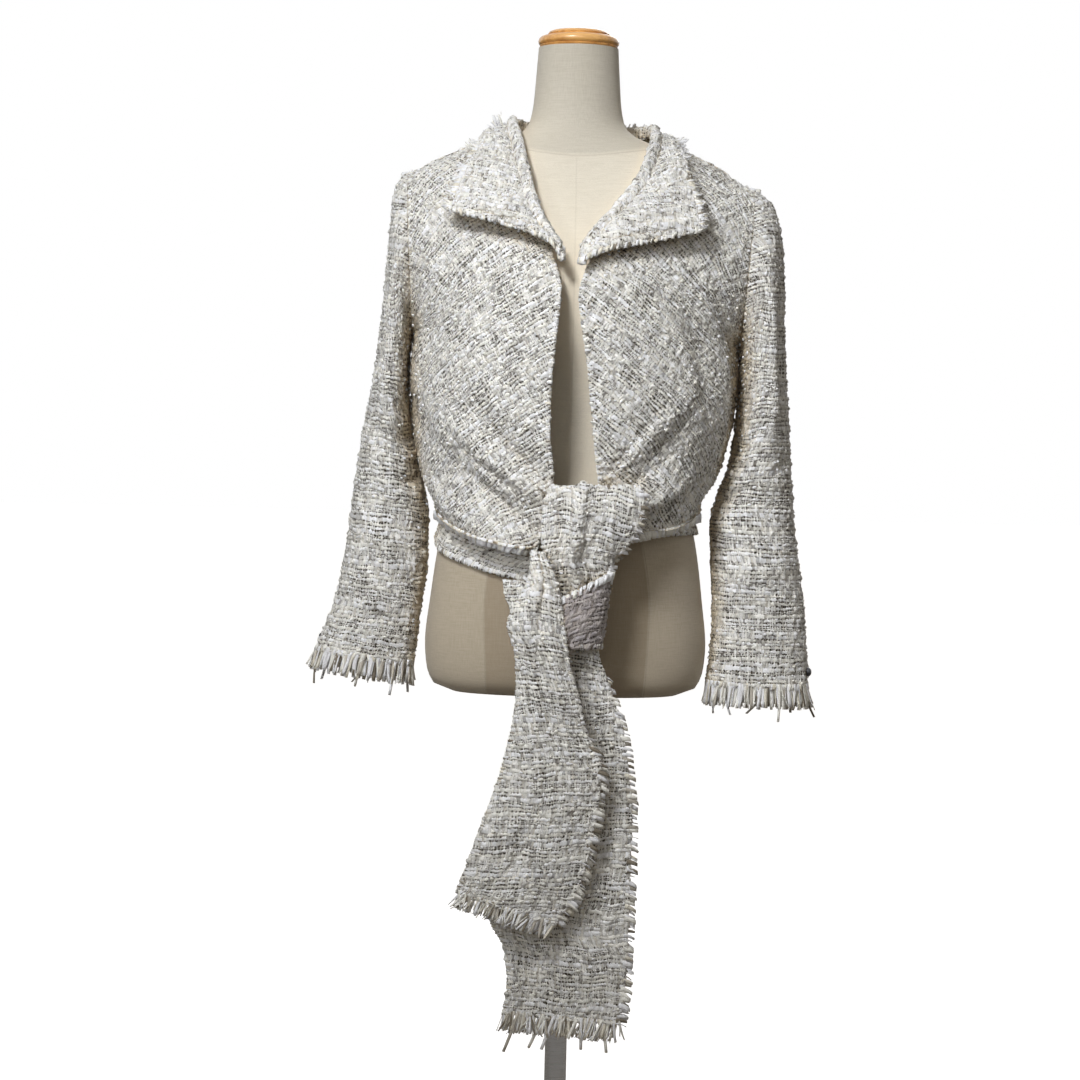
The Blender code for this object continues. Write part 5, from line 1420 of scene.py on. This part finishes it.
WRAP = {"middle": (-0.0010, -0.1500, 0.6890), "half_width": 0.0475, "half_depth": 0.0215, "height": 0.0520,
        "tilt": 0.55}


def knot_wrap(turns, share):
    """The stretch of the right tie that goes once round the left one, higher on the left side."""
    angle = 2 * np.pi * turns
    x = WRAP["half_width"] * np.cos(angle) * (1 - 0.17 * (1 - share))
    y = WRAP["half_depth"] * np.sin(angle) * (1 + 0.25 * np.sin(np.pi * share))
    z = WRAP["height"] * (share - 0.5) + WRAP["tilt"] * share * x
    return np.stack([x, y, z], -1) + np.array(WRAP["middle"])


piece = woven("waist_band_tweed", "waist_band", waist_band, first=BAND_TURNS, start=(-0.28, 0.5), seed=61,
              turn_in=0.003, raw="bt", size=1.12)
piece = woven("tie_left_tweed", "tie_left", strip(TIE_LEFT, TIE_LEFT_CREASES), seed=62, raw="lrt", size=1.12,
              cloth=TIE_TWEED)
piece = woven("tie_right_tweed", "tie_right", strip(TIE_RIGHT, TIE_RIGHT_CREASES), bias=-8.0, seed=63,
              raw="lrt", size=1.12, cloth=TIE_TWEED)
piece = woven("tie_tuck_tweed", "tie_tuck", strip(TIE_TUCK), seed=64, turn_in=0.002, raw="lrbt")
piece = woven("knot_wrap_tweed", "knot_wrap", knot_wrap, first=(-0.5, 0.5), start=(0.0, 0.5),
              core=WRAP["middle"][:2], seed=65, turn_in=0.003, raw="bt", size=1.12, cloth=WRAP_TWEED)

# ------------------------------------------------------------------ fringes
# Yarn ends drawn out of the raw edges at the cuffs, the ties and the collar: flat ribbons and
# thinner threads, bent and twisted as they hang.

# From where on a strand's tone gives each colour. The grey-brown and the near-black are darker than any yarn
# of the cloth: painted shade, for strands that hang in shadow.
YARN_TONES = ((0.0, (0.88, 0.885, 0.92, 1)), (0.38, (0.90, 0.89, 0.84, 1)), (0.66, (0.50, 0.465, 0.41, 1)),
              (0.78, (0.78, 0.74, 0.64, 1)), (0.89, (0.22, 0.19, 0.145, 1)))
YARN, tree, shader = finish("loose yarn ends", 0.72, Sheen_Weight=0.3, Sheen_Roughness=0.4)
tones = ramp(tree, node(tree, "Attribute", out=2, attribute_name="tone"), YARN_TONES)
brightness, height = spun(tree, 2400.0)
tree.links.new(scaled(tree, tones[0], brightness), shader.inputs["Base Color"])
raise_by(tree, shader, height, 0.4, 0.0004)

THREAD = (0.0009, 0.0014)  # width of a thin thread
ROOT = 0.004               # length of a strand that lies in the cloth


def loose_ends(name, nodes, border, count, length, seed, width=(0.0022, 0.0040), fall=0.22, droop=0.0,
               lift=0.0012, thin=0.35, bends=5, wall=0.0006, curled=0.14, tones=1.0):
    """Strands along a border. The border gives a point at a share along it, some way inside it."""
    rng = np.random.default_rng(seed)
    bm = bmesh.new()
    tone = bm.verts.layers.float.new("tone")
    at = (np.arange(count) + rng.uniform(0.1, 0.9, count)) / count
    edges = border(at, 0.0)
    ways = unit(edges - border(at, 0.02))
    sides = unit(border(np.minimum(at + 0.01, 1.0), 0.0) - border(np.maximum(at - 0.01, 0.0), 0.0))
    faces = unit(np.cross(ways, sides))
    bunches = np.repeat(rng.normal(0, fall, count // 3 + 2), 3)
    for edge, way, side, face, bunch in zip(edges, ways, sides, faces, bunches):
        is_thin = rng.random() < thin
        wide = rng.uniform(*THREAD) if is_thin else rng.uniform(*width)
        long = length * (rng.uniform(0.65, 1.15) if is_thin else rng.uniform(0.80, 1.06))
        lean, curl, twist = bunch + rng.normal(0, fall / 2), rng.normal(0, curled), rng.normal(0, 0.7)
        sway = rng.normal(0, 0.14)
        shade = rng.random() * tones
        top = rng.choice((-1.0, 1.0)) * lift
        for vert in bmesh.ops.create_grid(bm, x_segments=1, y_segments=bends, size=0.5)["verts"]:
            t = vert.co.y + 0.5
            turn = twist * t
            flat = side * math.cos(turn) + face * math.sin(turn)
            place = edge - way * ROOT + way * (long + ROOT) * t
            place = place + side * long * (lean * t + curl * t * t) + face * (long * sway * t * t + top)
            place = place + np.array([0, 0, -1.0]) * droop * long * t * t
            vert.co = place + flat * vert.co.x * 2 * wide * (0.5 - 0.08 * t * t)
            vert[tone] = shade
    mesh = mesh_of(name, bm)
    mesh.shade_smooth()
    piece = placed(name, mesh, YARN, "yarn", *nodes)
    solid = piece.modifiers.new("yarn thickness", "SOLIDIFY")
    solid.thickness = wall
    solid.offset = 0.0


def nubs(name, border, count, seed):
    """The ends of thick yarns, cut close to a raw edge: short round lumps."""
    loose_ends(name, [], border, count, 0.0022, seed, (0.0020, 0.0034), fall=0.3, lift=0.0004, thin=0.3,
               bends=2, wall=0.0020)


def bobbles(name, surface, first, second, count, seed, core=(0, 0)):
    """Loops of boucle that stand out of the cloth: small uneven lumps, scattered over a surface."""
    rng = np.random.default_rng(seed)
    spots = laid(surface, rng.uniform(*first, count), rng.uniform(*second, count), core)
    bm = bmesh.new()
    tone = bm.verts.layers.float.new("tone")
    for place, across, along, normal in zip(*spots[:4]):
        turn = Matrix([list(row) for row in np.stack([across, unit(np.cross(normal, across)), normal], 1)])
        wide = rng.uniform(0.0012, 0.0021)
        shape = Matrix.Diagonal((wide * rng.uniform(1.0, 1.7), wide, wide * rng.uniform(0.6, 0.9), 1.0))
        where = Matrix.Translation(place + normal * (CLOTH / 2 + rng.uniform(0.0004, 0.0010)))
        lump = bmesh.ops.create_icosphere(bm, subdivisions=1, radius=1.0,
                                          matrix=where @ turn.to_4x4() @ shape)
        shade = rng.uniform(0.0, 0.66)
        for vert in lump["verts"]:
            vert[tone] = shade
    mesh = mesh_of(name, bm)
    mesh.shade_smooth()
    placed(name, mesh, YARN, "yarn")


def along(surface, low, high, fixed, inward, first=True):
    """A border of a surface: the first share runs along it, or else the second."""
    def border(at, inside):
        run, hold = low + (high - low) * at, np.full_like(at, fixed + inward * inside)
        return surface(*((run, hold) if first else (hold, run)))
    return border


HEMMED = {"width": (0.0034, 0.0056), "fall": 0.3, "lift": 0.0016, "thin": 0.1, "bends": 2, "wall": 0.0042,
          "tones": 0.62}
THICK = {"width": (0.0026, 0.0044), "fall": 0.35, "lift": 0.0006, "thin": 0.1, "bends": 2, "wall": 0.0028}
COMB = {"width": (0.0038, 0.0062), "fall": 0.14, "thin": 0.18, "bends": 3, "wall": 0.0010}
CUFF = {"width": (0.0028, 0.0050), "fall": 0.12, "droop": 0.35, "thin": 0.14, "curled": 0.10}
STRAY = {"width": (0.0022, 0.0032), "fall": 0.24, "droop": 0.25, "thin": 0.0, "wall": 0.0018, "curled": 0.34}
TIE_END = {"width": (0.0018, 0.0034), "bends": 4}
for side, name in SIDES:
    cuff = along(sleeve(side), -0.5, 0.5, 1.0, -1.0)
    loose_ends("cuff_ends_" + name, ["fringe_cuff_" + name], cuff, 280, 0.0180, 71 + side, **CUFF)
    loose_ends("cuff_long_ends_" + name, [], cuff, 6, 0.030, 75 + side, **STRAY)
    loose_ends("cuff_nubs_" + name, [], cuff, 120, 0.0032, 78 + side, **THICK)
left_tie, right_tie = strip(TIE_LEFT, TIE_LEFT_CREASES), strip(TIE_RIGHT, TIE_RIGHT_CREASES)
left_end, right_end = along(left_tie, 0, 1, 1.0, -1.0), along(right_tie, 0, 1, 1.0, -1.0)
left_side = along(left_tie, 0.345, 1.0, 1.0, -1.0, False)
right_side = along(right_tie, 0.40, 1.0, 1.0, -1.0, False)
flap_side = along(left_tie, 0.05, 0.20, 1.0, -1.0, False)
loose_ends("tie_left_end_ends", ["fringe_tie_left_end"], left_end, 230, 0.020, 81, fall=0.24, **TIE_END)
loose_ends("tie_right_end_ends", ["fringe_tie_right_end"], right_end, 180, 0.017, 82, fall=0.26, **TIE_END)
loose_ends("tie_left_side_ends", ["fringe_tie_left_side"], left_side, 84, 0.009, 83, droop=0.35, **COMB)
loose_ends("tie_right_side_ends", ["fringe_tie_right_side"], right_side, 50, 0.010, 84, droop=0.45, **COMB)
loose_ends("flap_side_ends", [], flap_side, 26, 0.007, 86, droop=0.3, **COMB)
loose_ends("tie_left_thick_ends", [], along(left_tie, 0.02, 0.95, 1.0, -1.0), 5, 0.040, 87, (0.0026, 0.0034),
           thin=0.0, wall=0.0026)
collar_edge = along(lapels, -1.0, 1.0, 1.0, -1.0)
loose_ends("collar_ends", ["fringe_collar"], collar_edge, 240, 0.008, 85, (0.0018, 0.0032), fall=0.4,
           bends=3, tones=0.8)
loose_ends("collar_tufts", [], along(lapels, -0.44, 0.44, 1.0, -1.0), 250, 0.0105, 88, (0.0016, 0.0030),
           fall=0.5, droop=-0.8, bends=3, thin=0.25, tones=0.6)
loose_ends("collar_nubs", [], collar_edge, 230, 0.0030, 91, **THICK)
for side, name in SIDES:
    lapel_end = along(lapels, 0.05, 1.0, float(side), -float(side), False)
    loose_ends("lapel_nubs_" + name, [], lapel_end, 60, 0.0030, 106 + side, **THICK)
for side, name in SIDES:
    front = front_panel(side)
    hem = along(front, 0.0, 1.0, 0.0, 1.0)
    nubs("front_edge_nubs_" + name, along(front, 0.0, BREAK, 0.0, 1.0, False), 130, 92 + side)
    loose_ends("front_hem_nubs_" + name, [], hem, 84, 0.0056, 94 + side, **HEMMED)
    nubs("armhole_nubs_" + name, along(front, ARMPIT, 1.0, 1.0, -1.0, False), 90, 120 + side)
for side, name in SIDES:
    back_armhole = along(back_panel, 0.55, 1.0, float(side), -float(side), False)
    loose_ends("back_armhole_nubs_" + name, [], back_armhole, 110, 0.0090, 124 + side, **HEMMED)
wrap_top = along(knot_wrap, -0.5, 0.5, 1.0, -1.0)
nubs("back_hem_nubs", along(back_panel, -1.0, 1.0, 0.0, 1.0), 110, 97)
nubs("flap_nubs", along(left_tie, 0.0, 0.24, 0.0, 1.0, False), 60, 98)
nubs("flap_top_nubs", along(left_tie, 0.0, 1.0, 0.040, 1.0), 40, 99)
nubs("tie_left_nubs", along(left_tie, 0.30, 1.0, 0.0, 1.0, False), 120, 100)
nubs("tie_right_nubs", along(right_tie, 0.0, 1.0, 0.0, 1.0, False), 120, 101)
nubs("tie_right_upper_nubs", along(right_tie, 0.0, 0.42, 1.0, -1.0, False), 50, 102)
loose_ends("wrap_nubs", [], wrap_top, 84, 0.0050, 103, **HEMMED)
nubs("wrap_lower_nubs", along(knot_wrap, -0.5, 0.5, 0.0, 1.0), 80, 104)
nubs("band_nubs", along(waist_band, *BAND_TURNS, 0.0, 1.0), 130, 105)
INNER = (0.02, 0.98)
for side, name in SIDES:
    core = (side * SLEEVE_CORE, 0)
    bobbles("sleeve_bobbles_" + name, sleeve(side), (-0.5, 0.5), (0.01, 0.99), 330, 110 + side, core)
    bobbles("front_bobbles_" + name, front_panel(side), INNER, INNER, 250, 113 + side)
bobbles("back_bobbles", back_panel, (-0.98, 0.98), INNER, 230, 116)
bobbles("collar_bobbles", lapels, (-0.98, 0.98), (0.35, 0.98), 190, 117)
bobbles("tie_left_bobbles", left_tie, (0.03, 0.97), (0.05, 0.97), 110, 118)
bobbles("tie_right_bobbles", right_tie, (0.03, 0.97), (0.03, 0.97), 100, 119)

# ------------------------------------------------------------------ cuff buttons
# A small dark domed metal button, sewn on the outer line of each cuff near its edge.

BUTTON = [(0, .0042), (.0018, .0040), (.0034, .0033), (.0046, .0021), (.0053, .0009), (.0055, .0002),
          (.0053, -.0004), (.0048, -.0008), (0, -.0008)]
SHANK = 0.0010            # how far the button stands off the cloth


def cuff_button(name, side, turns, share, step=0.01):
    """A button whose axis stands on the sleeve at a turn round it and a share down it."""
    u, v = np.array([[turns, turns + step, turns]]), np.array([[share, share, share + step]])
    here, around, down = sleeve(side)(u, v)[0]
    normal = unit(np.cross(around - here, down - here))
    normal = normal * np.sign(normal[0] * side)
    level = unit(np.cross([0, 0, 1.0], normal))
    place = np.eye(4)
    place[:3] = np.stack([level, np.cross(normal, level), normal, here + normal * (CLOTH / 2 + SHANK)], 1)
    piece = turned(name + "_dome", BUTTON, DARK, "dark_metal", name, 28)
    piece.data.transform(Matrix([list(row) for row in place]))


cuff_button("cuff_button_left", LEFT, -0.03, 0.955)
cuff_button("cuff_button_right", RIGHT, 0.05, 0.955)

# ------------------------------------------------------------------ floor, lights and camera
# A plain pale studio floor in a white room, a small key light high at the front left, four softer
# lights around it, and the camera at breast height.

bm = bmesh.new()
bmesh.ops.create_grid(bm, x_segments=1, y_segments=1, size=30.0)
floor = bpy.data.objects.new("studio_floor", mesh_of("studio_floor", bm))
bpy.context.scene.collection.objects.link(floor)
PALE, tree, shader = finish("pale floor", 0.9, Emission_Color=(1, 1, 1, 1))
seen = node(tree, "LightPath")
grain = node(tree, "TexNoise", node(tree, "TexCoord", out=3), None, 3.0, 2.0, 0.5)
pale = blend(tree, grain, (0.90, 0.90, 0.90, 1), (0.93, 0.93, 0.93, 1))
tree.links.new(blend(tree, seen, (0.30, 0.28, 0.25, 1), pale), shader.inputs["Base Color"])
tree.links.new(times(tree, seen, 0.80), shader.inputs["Emission Strength"])
floor.data.materials.append(PALE)

world = bpy.data.worlds.new("white studio")
bpy.context.scene.world = world
world.use_nodes = True
rays = world.node_tree.nodes.new("ShaderNodeLightPath").outputs
seen = calc(world.node_tree, "MAXIMUM", rays["Is Camera Ray"], rays["Is Glossy Ray"])
tint = blend(world.node_tree, seen, (0.215, 0.197, 0.168, 1), (1, 1, 1, 1))
world.node_tree.links.new(tint, world.node_tree.nodes["Background"].inputs[0])


def aimed(place, towards):
    """Stands at a place and looks towards another, upright."""
    way = Vector(towards) - Vector(place)
    return Matrix.Translation(place) @ way.to_track_quat("-Z", "Y").to_matrix().to_4x4()


def soft_light(name, place, towards, size, power, tint=(1, 1, 1), spread=180):
    light = bpy.data.lights.new(name, "AREA")
    light.size = size
    light.energy = power
    light.color = tint
    light.spread = math.radians(spread)
    lamp = bpy.data.objects.new(name, light)
    bpy.context.scene.collection.objects.link(lamp)
    lamp.matrix_world = aimed(place, towards)


soft_light("key light", (-0.70, -1.70, 2.30), (0.06, -0.10, 1.11), 0.42, 4.35, (0.975, 0.992, 1.0), 60)
soft_light("front light", (-0.2, -2.6, 1.5), (0, -0.05, 0.9), 1.0, 3.55)
soft_light("low side light", (-1.20, -1.90, 1.25), (-0.05, -0.12, 0.76), 0.4, 0.60, (0.985, 0.995, 1.0), 38)
soft_light("fill light", (1.8, -2.6, 1.9), (0, 0, 0.85), 1.6, 3.3)
soft_light("back light", (0.6, 2.4, 2.4), (0, 0, 0.9), 1.4, 17.0)

CAMERA_AT, LOOK_AT = (-0.0312, -3.2, 0.887), (-0.0312, 0, 0.7726)
ROLL = math.radians(1.3)
view = bpy.data.cameras.new("camera")
view.lens, view.sensor_width = 93.63, 36
camera = bpy.data.objects.new("camera", view)
bpy.context.scene.collection.objects.link(camera)
camera.matrix_world = aimed(CAMERA_AT, LOOK_AT) @ Matrix.Rotation(ROLL, 4, "Z")
bpy.context.scene.camera = camera
bpy.context.scene.view_settings.view_transform = "Standard"
